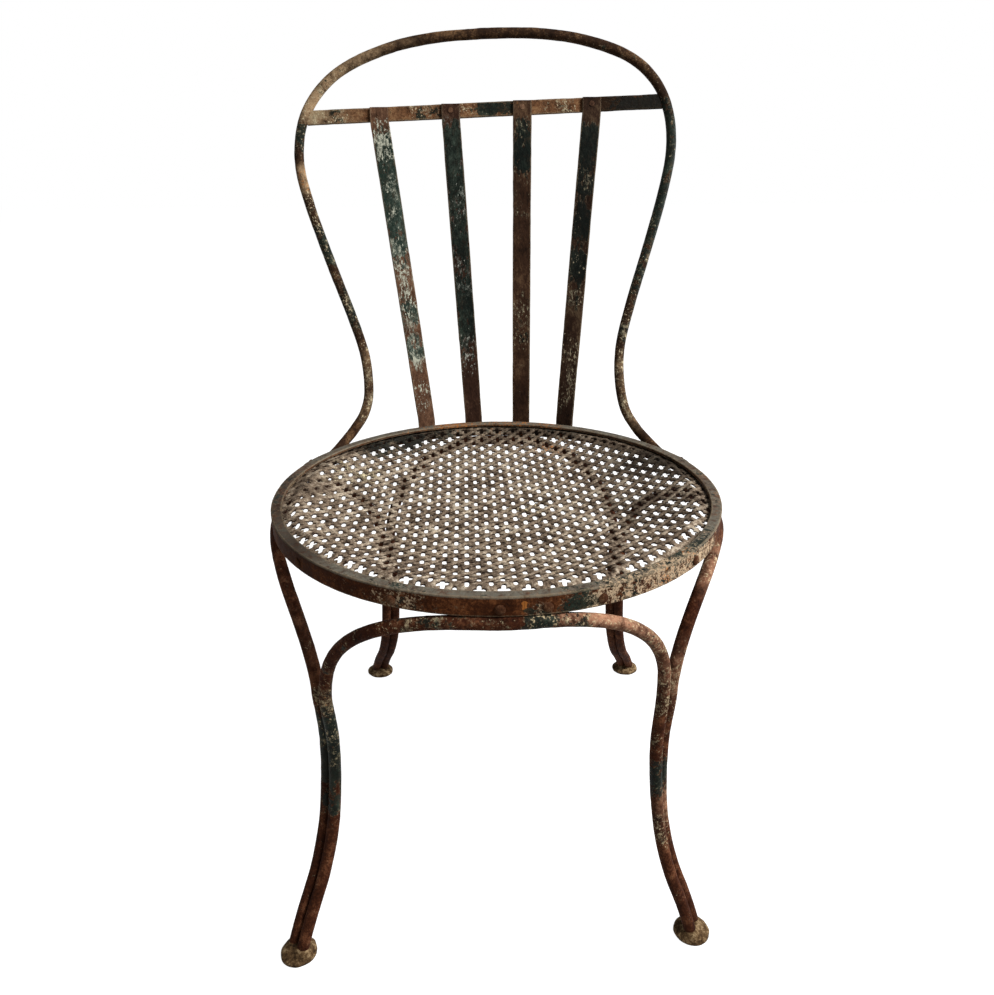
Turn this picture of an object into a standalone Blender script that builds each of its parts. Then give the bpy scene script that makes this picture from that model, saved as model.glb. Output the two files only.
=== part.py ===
"""Garden chair of bent iron rod with a dished, perforated seat.

Units are metres and Z is up. The chair faces -Y and stands on z = 0, with the
origin under the middle of its box. Left and right are as seen from the front.
Ring angles start at the front of the seat and grow towards the right side.
"""
from math import asin, atan2, ceil, cos, hypot, pi, radians, sin

import bmesh
import bpy
from mathutils import Matrix, Vector
from mathutils.geometry import delaunay_2d_cdt

# Fits
CLEARANCE = 0.0003

# Seat ring: a flat rim on top of a vertical band, bent to a circle
SEAT_HEIGHT = 0.4070
RING_RADIUS = 0.2200
RIM_WIDTH = 0.0102
RIM_THICKNESS = 0.0035
BAND_HEIGHT = 0.0176
BAND_THICKNESS = 0.0035
BUTT_ANGLE = radians(5.4)
BUTT_GAP = 0.0006
RING_SEGMENTS = 72

# Splice plate behind the ring's butt joint
SPLICE_LENGTH = 0.0600
SPLICE_THICKNESS = 0.0030
SPLICE_HEIGHT = 0.0062
SPLICE_RIVET_SPACING = 0.0368
SPLICE_STEPS = 6

# Seat sheet: dished, with a rolled shoulder and a turned-down edge
SHEET_THICKNESS = 0.0016
DISH_DEPTH = 0.0218
CREST_INSET = 0.0232
CREST_DROP = 0.0011
SHOULDER_DROP = 0.0046
EDGE_DEPTH = 0.0150
DISH_SQUARE_SHARE = 0.49
HOLE_PITCH = 0.0300
HOLE_HALF_DIAGONAL = 0.0112
HOLE_MARGIN = 0.0030
SHEET_SEGMENTS = 64
SHOULDER_STEPS = 3

# Rods
ROD_DIAMETER = 0.0120
ROD_SIDES = 8

# Leg arches: each is one rod bent under a quarter of the ring, with two legs
CROWN_HALF_LENGTH = 0.0240
CORNER_HEIGHT = 0.1180
TIGHT_CORNER_HEIGHT = 0.0930
LEG_TURN_SHARE = 0.5
LEG_TOP_INSET = 0.0005
CROWN_STEPS = 3
CORNER_STEPS = 10
LEG_STEPS = 13

# How far a leg has gone from its top towards its foot, against its height share
LEG_CURVE = (
    (0.00, 0.00),
    (0.18, -0.05),
    (0.38, 0.01),
    (0.57, 0.16),
    (0.74, 0.43),
    (0.88, 0.76),
    (1.00, 1.00),
)

# Legs: the ring angle each pair of rods comes down at, and where its foot stands
# from the ring's centre
LEG_ANGLES = {
    "front_left": radians(-46.0),
    "front_right": radians(43.0),
    "rear_left": radians(-140.3),
    "rear_right": radians(136.0),
}
FOOT_PLACES = {
    "front_left": (-0.1950, -0.2000),
    "front_right": (0.1910, -0.1800),
    "rear_left": (-0.1770, 0.2630),
    "rear_right": (0.1920, 0.2660),
}

# Each arch: its two legs, the ring angle of its crown's middle and the height of the
# corner above each leg
ARCHES = {
    "front_arch": ("front_left", "front_right", radians(2.2), CORNER_HEIGHT, TIGHT_CORNER_HEIGHT),
    "right_arch": ("front_right", "rear_right", radians(81.0), CORNER_HEIGHT, CORNER_HEIGHT),
    "rear_arch": ("rear_right", "rear_left", radians(178.0), CORNER_HEIGHT, CORNER_HEIGHT),
    "left_arch": ("rear_left", "front_left", radians(-93.0), CORNER_HEIGHT, CORNER_HEIGHT),
}

# Feet: flattened round pads
FOOT_RADIUS = 0.0172
FOOT_TOP_RADIUS = 0.0128
FOOT_HEIGHT = 0.0080
FOOT_EDGE = 0.0030
FOOT_SEGMENTS = 20

# Back hoop: the rod's centre line left and right of the middle, its setback and its
# height above the rim
HOOP_OUTLINE = (
    (0.1760, 0.1745, 0.1440, 0.0020),
    (0.1660, 0.1640, 0.1550, 0.0130),
    (0.1553, 0.1530, 0.1665, 0.0300),
    (0.1492, 0.1487, 0.1800, 0.0560),
    (0.1510, 0.1510, 0.1930, 0.0950),
    (0.1640, 0.1640, 0.2080, 0.1400),
    (0.1850, 0.1850, 0.2265, 0.2000),
    (0.2050, 0.2055, 0.2440, 0.2640),
    (0.2132, 0.2145, 0.2550, 0.3100),
    (0.2060, 0.2100, 0.2640, 0.3510),
    (0.1845, 0.1925, 0.2700, 0.3830),
    (0.1510, 0.1610, 0.2730, 0.4065),
    (0.1000, 0.1095, 0.2755, 0.4238),
    (0.0500, 0.0570, 0.2765, 0.4315),
    (-0.0030, 0.0030, 0.2770, 0.4334),
)
HOOP_END_ANGLE = radians(71.0)
HOOP_LIFT_ANGLE = radians(57.0)
HOOP_END_DROP = 0.0085
HOOP_END_STEPS = 4
HOOP_STEPS_PER_SPAN = 2
BACK_LEAN_SIDEWAYS = radians(2.1)
LEAN_START = 0.0100
LEAN_FULL = 0.0700

# Back rail and slats
RAIL_HEIGHT_ABOVE_RIM = 0.3562
RAIL_DEPTH = 0.0154
RAIL_THICKNESS = 0.0040
SLAT_WIDTH = 0.0212
SLAT_THICKNESS = 0.0030
SLAT_TOP_PLACES = (-0.1173, -0.0358, 0.0455, 0.1242)
SLAT_FOOT_PLACES = (-0.0852, -0.0280, 0.0312, 0.0842)
SLAT_FOOT_DROP = 0.0160
SLAT_LEAVES_BAND = 0.0060
SLAT_STEPS = 8

# Rivets
RIVET_SHANK_RADIUS = 0.0020
RIVET_HEAD_RADIUS = 0.0044
RIVET_HEAD_HEIGHT = 0.0024
RIVET_TAIL_RADIUS = 0.0034
RIVET_TAIL_HEIGHT = 0.0012
RIVET_DROP = 0.0108
RIVET_SEGMENTS = 8
SEAT_RIVET_ANGLES = (22.0, 50.0, 90.0, 140.0)

ROD_RADIUS = ROD_DIAMETER / 2
LEG_TOP_RADIUS = RING_RADIUS - LEG_TOP_INSET
CREST_RADIUS = RING_RADIUS - CREST_INSET
BAND_INNER_RADIUS = RING_RADIUS - BAND_THICKNESS
SKIRT_OUTER_RADIUS = BAND_INNER_RADIUS * cos(pi / RING_SEGMENTS) - CLEARANCE
SKIRT_INNER_RADIUS = SKIRT_OUTER_RADIUS - SHEET_THICKNESS
SKIRT_FACE_RADIUS = SKIRT_INNER_RADIUS * cos(pi / SHEET_SEGMENTS)
SPLICE_OUTER_RADIUS = SKIRT_FACE_RADIUS - CLEARANCE
SPLICE_INNER_RADIUS = SPLICE_OUTER_RADIUS - SPLICE_THICKNESS
CROWN_RADIUS = RING_RADIUS - BAND_THICKNESS / 2
CROWN_Z = SEAT_HEIGHT - BAND_HEIGHT - CLEARANCE - ROD_RADIUS
UP = Vector((0.0, 0.0, 1.0))


def make_material(name, colour, roughness, metallic):
    """A plain Principled material."""
    material = bpy.data.materials.new(name)
    material.use_nodes = True
    shader = material.node_tree.nodes["Principled BSDF"]
    shader.inputs["Base Color"].default_value = (*colour, 1.0)
    shader.inputs["Roughness"].default_value = roughness
    shader.inputs["Metallic"].default_value = metallic
    return material


def add_object(name, bm, material, smooth_angle=None):
    """Turn a bmesh into a named object with its material."""
    bmesh.ops.recalc_face_normals(bm, faces=bm.faces)
    mesh = bpy.data.meshes.new(name)
    bm.to_mesh(mesh)
    bm.free()
    mesh.materials.append(material)
    if smooth_angle is not None:
        mesh.shade_smooth()
        mesh.set_sharp_from_angle(angle=smooth_angle)
    made = bpy.data.objects.new(name, mesh)
    bpy.context.scene.collection.objects.link(made)
    return made


def ring_point(angle, radius, z):
    """Point on a circle round the seat's axis, with angle 0 at the front."""
    return Vector((radius * sin(angle), -radius * cos(angle), z))


def catmull_rom(points, steps):
    """Smooth curve through points, with steps pieces to each span."""
    vectors = [Vector(point) for point in points]
    before = vectors[0] * 2 - vectors[1]
    after = vectors[-1] * 2 - vectors[-2]
    padded = [before] + vectors + [after]
    curve = []
    for index in range(1, len(padded) - 2):
        p0, p1, p2, p3 = padded[index - 1:index + 3]
        for step in range(steps):
            t = step / steps
            curve.append(0.5 * (2 * p1 + (p2 - p0) * t + (2 * p0 - 5 * p1 + 4 * p2 - p3) * t**2
                                + (3 * p1 - p0 - 3 * p2 + p3) * t**3))
    curve.append(vectors[-1])
    return curve


def value_on_curve(points, x):
    """Height at x of the smooth curve through (x, height) points."""
    fine = catmull_rom([(px, py, 0.0) for px, py in points], 8)
    for left, right in zip(fine, fine[1:]):
        if x <= right.x:
            share = (x - left.x) / (right.x - left.x)
            return left.y + (right.y - left.y) * share
    return fine[-1].y


def tangents(path):
    """Unit direction of travel at each point of a path."""
    result = []
    for index in range(len(path)):
        ahead = path[min(index + 1, len(path) - 1)]
        behind = path[max(index - 1, 0)]
        result.append((ahead - behind).normalized())
    return result


def sweep(bm, path, sides_at, section):
    """Carry a closed section along a path and cap both ends.

    sides_at gives the section's first axis at each point of the path; the second
    axis is square to it and to the path.
    """
    loops = []
    for point, direction, side in zip(path, tangents(path), sides_at):
        across = (side - direction * side.dot(direction)).normalized()
        other = direction.cross(across)
        loops.append([bm.verts.new(point + across * a + other * b) for a, b in section])
    for near, far in zip(loops, loops[1:]):
        for index in range(len(section)):
            nxt = (index + 1) % len(section)
            bm.faces.new((near[index], near[nxt], far[nxt], far[index]))
    bm.faces.new(list(reversed(loops[0])))
    bm.faces.new(loops[-1])
    return loops


def round_section(radius, sides):
    """Corners of a round rod's section."""
    return [(radius * cos(2 * pi * k / sides), radius * sin(2 * pi * k / sides))
            for k in range(sides)]


def flat_section(width, thickness):
    """Corners of a flat bar's section."""
    a, b = width / 2, thickness / 2
    return [(-a, -b), (a, -b), (a, b), (-a, b)]


def carried_sides(path, start):
    """A side direction carried along a path without twisting."""
    side = start
    result = []
    for direction in tangents(path):
        side = (side - direction * side.dot(direction)).normalized()
        result.append(side.copy())
    return result


def make_rod(name, path, material, flat_ends_z=None):
    """A round rod along a path; its ends are cut level at flat_ends_z if given."""
    bm = bmesh.new()
    start = UP if abs(tangents(path)[0].z) < 0.9 else Vector((1.0, 0.0, 0.0))
    loops = sweep(bm, path, carried_sides(path, start), round_section(ROD_RADIUS, ROD_SIDES))
    if flat_ends_z is not None:
        for loop, direction in ((loops[0], path[1] - path[0]), (loops[-1], path[-1] - path[-2])):
            for vert in loop:
                vert.co += direction * ((flat_ends_z - vert.co.z) / direction.z)
    return add_object(name, bm, material, radians(50))


def turn_profile(bm, profile, segments, placement):
    """Turn a profile of (radius, height) points, top to bottom, about the local Z axis."""
    loops = []
    for radius, height in profile:
        if radius == 0.0:
            loops.append([bm.verts.new(placement @ Vector((0.0, 0.0, height)))])
            continue
        loops.append([bm.verts.new(placement @ Vector((radius * cos(2 * pi * k / segments),
                                                       radius * sin(2 * pi * k / segments),
                                                       height)))
                      for k in range(segments)])
    for upper, lower in zip(loops, loops[1:]):
        for k in range(segments):
            nxt = (k + 1) % segments
            corners = [upper[k % len(upper)], lower[k % len(lower)],
                       lower[nxt % len(lower)], upper[nxt % len(upper)]]
            bm.faces.new(list(dict.fromkeys(corners)))


# Seat ring and splice

def make_ring(material):
    """The rim and band, one bent strip that meets itself at a butt joint."""
    section = (
        (RING_RADIUS, 0.0),
        (RING_RADIUS, -BAND_HEIGHT),
        (BAND_INNER_RADIUS, -BAND_HEIGHT),
        (BAND_INNER_RADIUS, -RIM_THICKNESS),
        (RING_RADIUS - RIM_WIDTH, -RIM_THICKNESS),
        (RING_RADIUS - RIM_WIDTH, 0.0),
    )
    gap_angle = BUTT_GAP / RING_RADIUS
    bm = bmesh.new()
    loops = []
    for step in range(RING_SEGMENTS + 1):
        angle = BUTT_ANGLE + gap_angle / 2 + (2 * pi - gap_angle) * step / RING_SEGMENTS
        loops.append([bm.verts.new(ring_point(angle, radius, SEAT_HEIGHT + z))
                      for radius, z in section])
    for near, far in zip(loops, loops[1:]):
        for index in range(len(section)):
            nxt = (index + 1) % len(section)
            bm.faces.new((near[index], near[nxt], far[nxt], far[index]))
    bm.faces.new(list(reversed(loops[0])))
    bm.faces.new(loops[-1])
    return add_object("seat_ring", bm, material, radians(30))


def make_splice(material):
    """The curved plate that bridges the butt joint, inside the sheet's edge."""
    middle = (SPLICE_OUTER_RADIUS + SPLICE_INNER_RADIUS) / 2
    half_angle = SPLICE_LENGTH / 2 / middle
    path = [ring_point(BUTT_ANGLE - half_angle + 2 * half_angle * k / SPLICE_STEPS, middle,
                       SEAT_HEIGHT - RIVET_DROP) for k in range(SPLICE_STEPS + 1)]
    bm = bmesh.new()
    sweep(bm, path, [UP] * len(path), flat_section(SPLICE_HEIGHT, SPLICE_THICKNESS))
    return add_object("splice_plate", bm, material)


# Seat sheet

def sheet_height(radius):
    """Height of the sheet's upper face: a dish, then the rolled shoulder."""
    rise = DISH_DEPTH - CREST_DROP
    if radius <= CREST_RADIUS:
        share = radius / CREST_RADIUS
        curve = DISH_SQUARE_SHARE * share**2 + (1 - DISH_SQUARE_SHARE) * share**4
        return SEAT_HEIGHT - DISH_DEPTH + rise * curve
    share = (radius - CREST_RADIUS) / (SKIRT_OUTER_RADIUS - CREST_RADIUS)
    return SEAT_HEIGHT - CREST_DROP - SHOULDER_DROP * sin(share * pi / 2)


def hole_centres():
    """Centres of the staggered holes that lie wholly inside the shoulder's crest."""
    reach = ceil(2 * CREST_RADIUS / HOLE_PITCH)
    limit = CREST_RADIUS - HOLE_MARGIN - HOLE_HALF_DIAGONAL
    centres = []
    for i in range(-reach, reach + 1):
        for j in range(-reach, reach + 1):
            if (i + j) % 2:
                continue
            x, y = i * HOLE_PITCH / 2, j * HOLE_PITCH / 2
            if hypot(x, y) <= limit:
                centres.append((x, y))
    return centres


def sheet_layout():
    """Plan of the sheet as triangles: its points, and the faces between the holes."""
    points = []
    edges = []

    def add_loop(loop):
        first = len(points)
        points.extend(Vector(point) for point in loop)
        edges.extend((first + k, first + (k + 1) % len(loop)) for k in range(len(loop)))

    radii = [CREST_RADIUS + (SKIRT_INNER_RADIUS - CREST_RADIUS) * k / SHOULDER_STEPS
             for k in range(SHOULDER_STEPS + 1)]
    for radius in radii:
        add_loop([(radius * sin(2 * pi * k / SHEET_SEGMENTS),
                   radius * cos(2 * pi * k / SHEET_SEGMENTS)) for k in range(SHEET_SEGMENTS)])
    centres = hole_centres()
    d = HOLE_HALF_DIAGONAL
    for x, y in centres:
        add_loop([(x + d, y), (x, y + d), (x - d, y), (x, y - d)])
    verts, _, faces, *_ = delaunay_2d_cdt(points, edges, [], 1, 1e-7)
    open_cells = {(round(2 * x / HOLE_PITCH), round(2 * y / HOLE_PITCH)) for x, y in centres}

    def in_hole(face):
        middle = sum((verts[k] for k in face), Vector((0.0, 0.0))) / len(face)
        for i, j in nearest_cells(middle):
            if (i, j) in open_cells:
                distance = abs(middle.x - i * HOLE_PITCH / 2) + abs(middle.y - j * HOLE_PITCH / 2)
                if distance < HOLE_HALF_DIAGONAL:
                    return True
        return False

    return verts, [face for face in faces if not in_hole(face)]


def nearest_cells(point):
    """Lattice cells round a point of the plan."""
    i = round(2 * point.x / HOLE_PITCH)
    j = round(2 * point.y / HOLE_PITCH)
    return [(i + di, j + dj) for di in (-1, 0, 1) for dj in (-1, 0, 1)]


def make_sheet(material):
    """The seat sheet: upper and lower faces, the holes' walls and the turned-down edge."""
    plan, faces = sheet_layout()
    bm = bmesh.new()
    upper = [bm.verts.new((p.x, p.y, sheet_height(p.length))) for p in plan]
    lower = [bm.verts.new((p.x, p.y, sheet_height(p.length) - SHEET_THICKNESS)) for p in plan]
    seen = set()
    for face in faces:
        bm.faces.new([upper[k] for k in face])
        bm.faces.new([lower[k] for k in reversed(face)])
        for k in range(3):
            seen.add((face[k], face[(k + 1) % 3]))
    edge_radius = SKIRT_INNER_RADIUS - SHEET_THICKNESS / 2
    rim = {}
    for a, b in sorted(seen):
        if (b, a) in seen:
            continue
        if plan[a].length < edge_radius or plan[b].length < edge_radius:
            bm.faces.new((upper[a], upper[b], lower[b], lower[a]))
            continue
        for k in (a, b):
            if k not in rim:
                direction = plan[k].normalized()
                inner = direction * SKIRT_INNER_RADIUS
                outer = direction * SKIRT_OUTER_RADIUS
                bottom = SEAT_HEIGHT - EDGE_DEPTH
                rim[k] = (
                    bm.verts.new((outer.x, outer.y, sheet_height(SKIRT_OUTER_RADIUS))),
                    bm.verts.new((outer.x, outer.y, bottom)),
                    bm.verts.new((inner.x, inner.y, bottom)),
                )
        ladder_a = [upper[a], *rim[a], lower[a]]
        ladder_b = [upper[b], *rim[b], lower[b]]
        for near, far in zip(zip(ladder_a, ladder_b), zip(ladder_a[1:], ladder_b[1:])):
            bm.faces.new((near[0], near[1], far[1], far[0]))
    loose = [vert for vert in bm.verts if not vert.link_faces]
    bmesh.ops.delete(bm, geom=loose, context="VERTS")
    return add_object("seat_sheet", bm, material)


# Leg arches and feet

def leg_path(leg, side):
    """Centre line of one rod of a leg pair, from below the corner to its foot.

    side is +1 or -1 for the rod's place beside the middle of the pair, counted
    along the ring.
    """
    top = ring_point(LEG_ANGLES[leg], LEG_TOP_RADIUS, 0.0)
    bottom = Vector((*FOOT_PLACES[leg], 0.0))
    along_ring = ring_point(LEG_ANGLES[leg] + pi / 2, 1.0, 0.0)
    outward = (bottom - top).normalized()
    beside_foot = Vector((-outward.y, outward.x, 0.0))
    if beside_foot.dot(along_ring) < 0:
        beside_foot.negate()
    top_z = CROWN_Z - CORNER_HEIGHT
    end_z = FOOT_HEIGHT + CLEARANCE
    path = []
    for step in range(LEG_STEPS + 1):
        share = step / LEG_STEPS
        turn = min(1.0, share / LEG_TURN_SHARE)
        beside = along_ring.lerp(beside_foot, turn).normalized()
        middle = top.lerp(bottom, value_on_curve(LEG_CURVE, share))
        point = middle + beside * side * (ROD_RADIUS + CLEARANCE / 2)
        point.z = top_z + (end_z - top_z) * share
        path.append(point)
    return path


def angle_between(start, end):
    """Turn from one ring angle to another, less than half a circle either way."""
    return (end - start + pi) % (2 * pi) - pi


def half_arch(middle_angle, leg, corner_height):
    """Half an arch: from the crown's middle along the ring, round the corner, down the leg."""
    side = 1 if angle_between(middle_angle, LEG_ANGLES[leg]) > 0 else -1
    down = leg_path(leg, -side)
    leg_turn = abs(angle_between(middle_angle, atan2(down[0].x, -down[0].y)))
    leg_radius = hypot(down[0].x, down[0].y)
    crown_turn = CROWN_HALF_LENGTH / CROWN_RADIUS
    path = [ring_point(middle_angle + side * crown_turn * k / CROWN_STEPS, CROWN_RADIUS, CROWN_Z)
            for k in range(CROWN_STEPS)]
    for step in range(CORNER_STEPS):
        bend = pi / 2 * step / CORNER_STEPS
        turn = crown_turn + (leg_turn - crown_turn) * sin(bend)
        radius = CROWN_RADIUS + (leg_radius - CROWN_RADIUS) * (1 - cos(bend))
        path.append(ring_point(middle_angle + side * turn, radius,
                               CROWN_Z - corner_height * (1 - cos(bend))))
    if corner_height < CORNER_HEIGHT:
        path.append(Vector((down[0].x, down[0].y, CROWN_Z - corner_height)))
    return path + down


def make_arch(name, material):
    """One leg arch, from the leg at the lower ring angle to the one at the higher."""
    low_leg, high_leg, middle_angle, low_corner, high_corner = ARCHES[name]
    low = half_arch(middle_angle, low_leg, low_corner)
    high = half_arch(middle_angle, high_leg, high_corner)
    return make_rod(name, list(reversed(low)) + high[1:], material, FOOT_HEIGHT + CLEARANCE)


def make_foot(name, place, material):
    """A flattened round foot that the two rods of a leg stand on."""
    profile = (
        (0.0, FOOT_HEIGHT),
        (FOOT_TOP_RADIUS, FOOT_HEIGHT),
        (FOOT_RADIUS * 0.93, FOOT_HEIGHT * 0.72),
        (FOOT_RADIUS, FOOT_EDGE),
        (FOOT_RADIUS * 0.94, 0.0),
        (0.0, 0.0),
    )
    bm = bmesh.new()
    turn_profile(bm, profile, FOOT_SEGMENTS, Matrix.Translation((place[0], place[1], 0.0)))
    return add_object(name, bm, material, radians(40))


# Back

def lean_sideways(point):
    """Lean a point of the back to the left, from nothing at the rim to the full angle."""
    height = point.z - SEAT_HEIGHT
    share = min(1.0, max(0.0, (height - LEAN_START) / (LEAN_FULL - LEAN_START)))
    share = share * share * (3 - 2 * share)
    slope = sin(BACK_LEAN_SIDEWAYS) * share
    return Vector((point.x - slope * height, point.y, point.z + slope * point.x))


def hoop_curve(side):
    """One side of the hoop before it leans, from its end on the band to its top."""
    radius = RING_RADIUS + CLEARANCE + ROD_RADIUS
    knots = []
    for step in range(HOOP_END_STEPS):
        share = step / (HOOP_END_STEPS - 1)
        from_rear = HOOP_END_ANGLE + (HOOP_LIFT_ANGLE - HOOP_END_ANGLE) * share
        knots.append(ring_point(side * (pi - from_rear), radius, SEAT_HEIGHT - HOOP_END_DROP))
    for left, right, setback, height in HOOP_OUTLINE:
        across = -left if side < 0 else right
        knots.append(Vector((across, setback, SEAT_HEIGHT + height)))
    return catmull_rom(knots, HOOP_STEPS_PER_SPAN)


def make_hoop(material):
    """The back hoop, one rod from the left of the band over the top to the right."""
    left = [lean_sideways(point) for point in hoop_curve(-1)]
    right = [lean_sideways(point) for point in reversed(hoop_curve(1)[:-1])]
    return make_rod("back_hoop", left + right, material)


def hoop_at(side, height):
    """Place across, setback and widening of one side of the hoop at a height above the rim."""
    curve = hoop_curve(side)
    level = SEAT_HEIGHT + height
    for low, high in zip(curve, curve[1:]):
        if low.z <= level <= high.z:
            found = low.lerp(high, (level - low.z) / (high.z - low.z))
            return found.x, found.y, (high.x - low.x) / (high.z - low.z)
    return curve[-1].x, curve[-1].y, 0.0


def back_direction():
    """Unit direction up the back at the rail, and the way its face points."""
    low = hoop_at(1, RAIL_HEIGHT_ABOVE_RIM - RAIL_DEPTH)[1]
    high = hoop_at(1, RAIL_HEIGHT_ABOVE_RIM + RAIL_DEPTH)[1]
    rising = Vector((0.0, high - low, 2 * RAIL_DEPTH)).normalized()
    return rising, Vector((0.0, -rising.z, rising.y))


def make_rail(material):
    """The flat rail between the hoop's sides, cut to their round flanks."""
    rising, _ = back_direction()
    bm = bmesh.new()
    rows = []
    for k in (-1, 0, 1):
        height = RAIL_HEIGHT_ABOVE_RIM + k * RAIL_DEPTH / 2 * rising.z
        setback = hoop_at(1, RAIL_HEIGHT_ABOVE_RIM)[1] + k * RAIL_DEPTH / 2 * rising.y
        row = []
        for side in (-1, 1):
            across, _, widening = hoop_at(side, height)
            reach = across - side * (ROD_RADIUS + CLEARANCE) * hypot(1.0, widening)
            row.append(Vector((reach, setback, SEAT_HEIGHT + height)))
        rows.append(row)
    front = Vector((0.0, -RAIL_THICKNESS / 2 * rising.z, RAIL_THICKNESS / 2 * rising.y))
    sheets = []
    for sign in (1, -1):
        sheets.append([[bm.verts.new(lean_sideways(point) + front * sign) for point in row]
                       for row in rows])
    for sheet in sheets:
        for low, high in zip(sheet, sheet[1:]):
            bm.faces.new((low[0], low[1], high[1], high[0]))
    outline = [(0, 0), (0, 1), (1, 1), (2, 1), (2, 0), (1, 0)]
    for (r0, c0), (r1, c1) in zip(outline, outline[1:] + outline[:1]):
        bm.faces.new((sheets[0][r0][c0], sheets[0][r1][c1], sheets[1][r1][c1], sheets[1][r0][c0]))
    return add_object("back_rail", bm, material)


def slat_top(index):
    """Middle of a slat's top end, in front of the rail."""
    rising, facing = back_direction()
    setback = hoop_at(1, RAIL_HEIGHT_ABOVE_RIM)[1]
    centre = Vector((SLAT_TOP_PLACES[index], setback, SEAT_HEIGHT + RAIL_HEIGHT_ABOVE_RIM))
    return centre, rising, facing


def slat_angle(index):
    """Ring angle of a slat's lower end."""
    return pi - asin(SLAT_FOOT_PLACES[index] / RING_RADIUS)


def make_slat(index, material):
    """A slat: flat against the band below, then straight up to the rail's front."""
    angle = slat_angle(index)
    radius = RING_RADIUS + CLEARANCE + SLAT_THICKNESS / 2
    centre, rising, facing = slat_top(index)
    on_rail = lean_sideways(centre) + facing * (RAIL_THICKNESS / 2 + CLEARANCE
                                                + SLAT_THICKNESS / 2)
    upper_end = on_rail + rising * RAIL_DEPTH / 2
    lower_end = on_rail - rising * RAIL_DEPTH / 2
    leaves = ring_point(angle, radius, SEAT_HEIGHT + SLAT_LEAVES_BAND)
    path = [ring_point(angle, radius, SEAT_HEIGHT - SLAT_FOOT_DROP),
            ring_point(angle, radius, SEAT_HEIGHT - SLAT_FOOT_DROP / 2),
            leaves]
    tangent = ring_point(angle - pi / 2, 1.0, 0.0)
    sides = [tangent.copy() for _ in path]
    across = Vector((1.0, 0.0, sin(BACK_LEAN_SIDEWAYS)))
    for step in range(1, SLAT_STEPS + 1):
        share = step / SLAT_STEPS
        path.append(leaves.lerp(lower_end, share))
        sides.append(tangent.lerp(across, share).normalized())
    path.append(upper_end)
    sides.append(across.normalized())
    bm = bmesh.new()
    sweep(bm, path, sides, flat_section(SLAT_WIDTH, SLAT_THICKNESS))
    return add_object(f"back_slat_{index + 1}", bm, material)


# Rivets

def rivet_placement(face_point, outward):
    """Frame of a rivet whose head sits on face_point and looks outward."""
    return Matrix.Translation(face_point) @ outward.to_track_quat("Z", "Y").to_matrix().to_4x4()


def make_rivet(name, face_point, outward, grip, material):
    """A rivet with a domed head, a shank through the grip and a flat tail."""
    under_head = CLEARANCE
    under_tail = -grip - CLEARANCE
    profile = (
        (0.0, under_head + RIVET_HEAD_HEIGHT),
        (RIVET_HEAD_RADIUS * 0.62, under_head + RIVET_HEAD_HEIGHT * 0.80),
        (RIVET_HEAD_RADIUS, under_head),
        (RIVET_SHANK_RADIUS, under_head),
        (RIVET_SHANK_RADIUS, under_tail),
        (RIVET_TAIL_RADIUS, under_tail),
        (RIVET_TAIL_RADIUS * 0.85, under_tail - RIVET_TAIL_HEIGHT),
        (0.0, under_tail - RIVET_TAIL_HEIGHT),
    )
    bm = bmesh.new()
    turn_profile(bm, profile, RIVET_SEGMENTS, rivet_placement(face_point, outward))
    return add_object(name, bm, material, radians(40))


def rivet_plan():
    """Every rivet: its name, where its head sits, the way it looks and its grip."""
    plan = []
    level = SEAT_HEIGHT - RIVET_DROP

    def on_band(name, angle, outer_radius, inner_radius=SKIRT_FACE_RADIUS):
        plan.append((name, ring_point(angle, outer_radius, level),
                     ring_point(angle, 1.0, 0.0), outer_radius - inner_radius))

    for degrees in SEAT_RIVET_ANGLES:
        number = int(degrees)
        on_band(f"seat_rivet_left_{number}", -radians(degrees), RING_RADIUS)
        on_band(f"seat_rivet_right_{number}", radians(degrees), RING_RADIUS)
    half = SPLICE_RIVET_SPACING / 2 / RING_RADIUS
    on_band("splice_rivet_left", BUTT_ANGLE - half, RING_RADIUS, SPLICE_INNER_RADIUS)
    on_band("splice_rivet_right", BUTT_ANGLE + half, RING_RADIUS, SPLICE_INNER_RADIUS)
    hoop_angle = pi - (HOOP_END_ANGLE + HOOP_LIFT_ANGLE) / 2
    rod_face = RING_RADIUS + CLEARANCE + ROD_DIAMETER
    on_band("hoop_rivet_left", -hoop_angle, rod_face)
    on_band("hoop_rivet_right", hoop_angle, rod_face)
    slat_face = RING_RADIUS + CLEARANCE + SLAT_THICKNESS
    for index in range(len(SLAT_TOP_PLACES)):
        on_band(f"slat_foot_rivet_{index + 1}", slat_angle(index), slat_face)
        centre, _, facing = slat_top(index)
        stack = RAIL_THICKNESS / 2 + CLEARANCE + SLAT_THICKNESS
        plan.append((f"slat_head_rivet_{index + 1}", lean_sideways(centre) + facing * stack,
                     facing, stack + RAIL_THICKNESS / 2))
    return plan


def make_bores(plan):
    """One cutter with a bore for every rivet."""
    bm = bmesh.new()
    radius = RIVET_SHANK_RADIUS + CLEARANCE
    for _, face_point, outward, grip in plan:
        reach = RIVET_HEAD_HEIGHT
        profile = ((0.0, reach), (radius, reach), (radius, -grip - reach), (0.0, -grip - reach))
        turn_profile(bm, profile, RIVET_SEGMENTS, rivet_placement(face_point, outward))
    bores = add_object("rivet_bores", bm, make_material("guide", (1.0, 1.0, 1.0), 0.5, 0.0))
    bores.hide_render = True
    bores.display_type = "WIRE"
    return bores


def drill(piece, bores):
    """Cut the rivet bores out of a piece."""
    cut = piece.modifiers.new("rivet bores", "BOOLEAN")
    cut.operation = "DIFFERENCE"
    cut.solver = "EXACT"
    cut.object = bores


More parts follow.
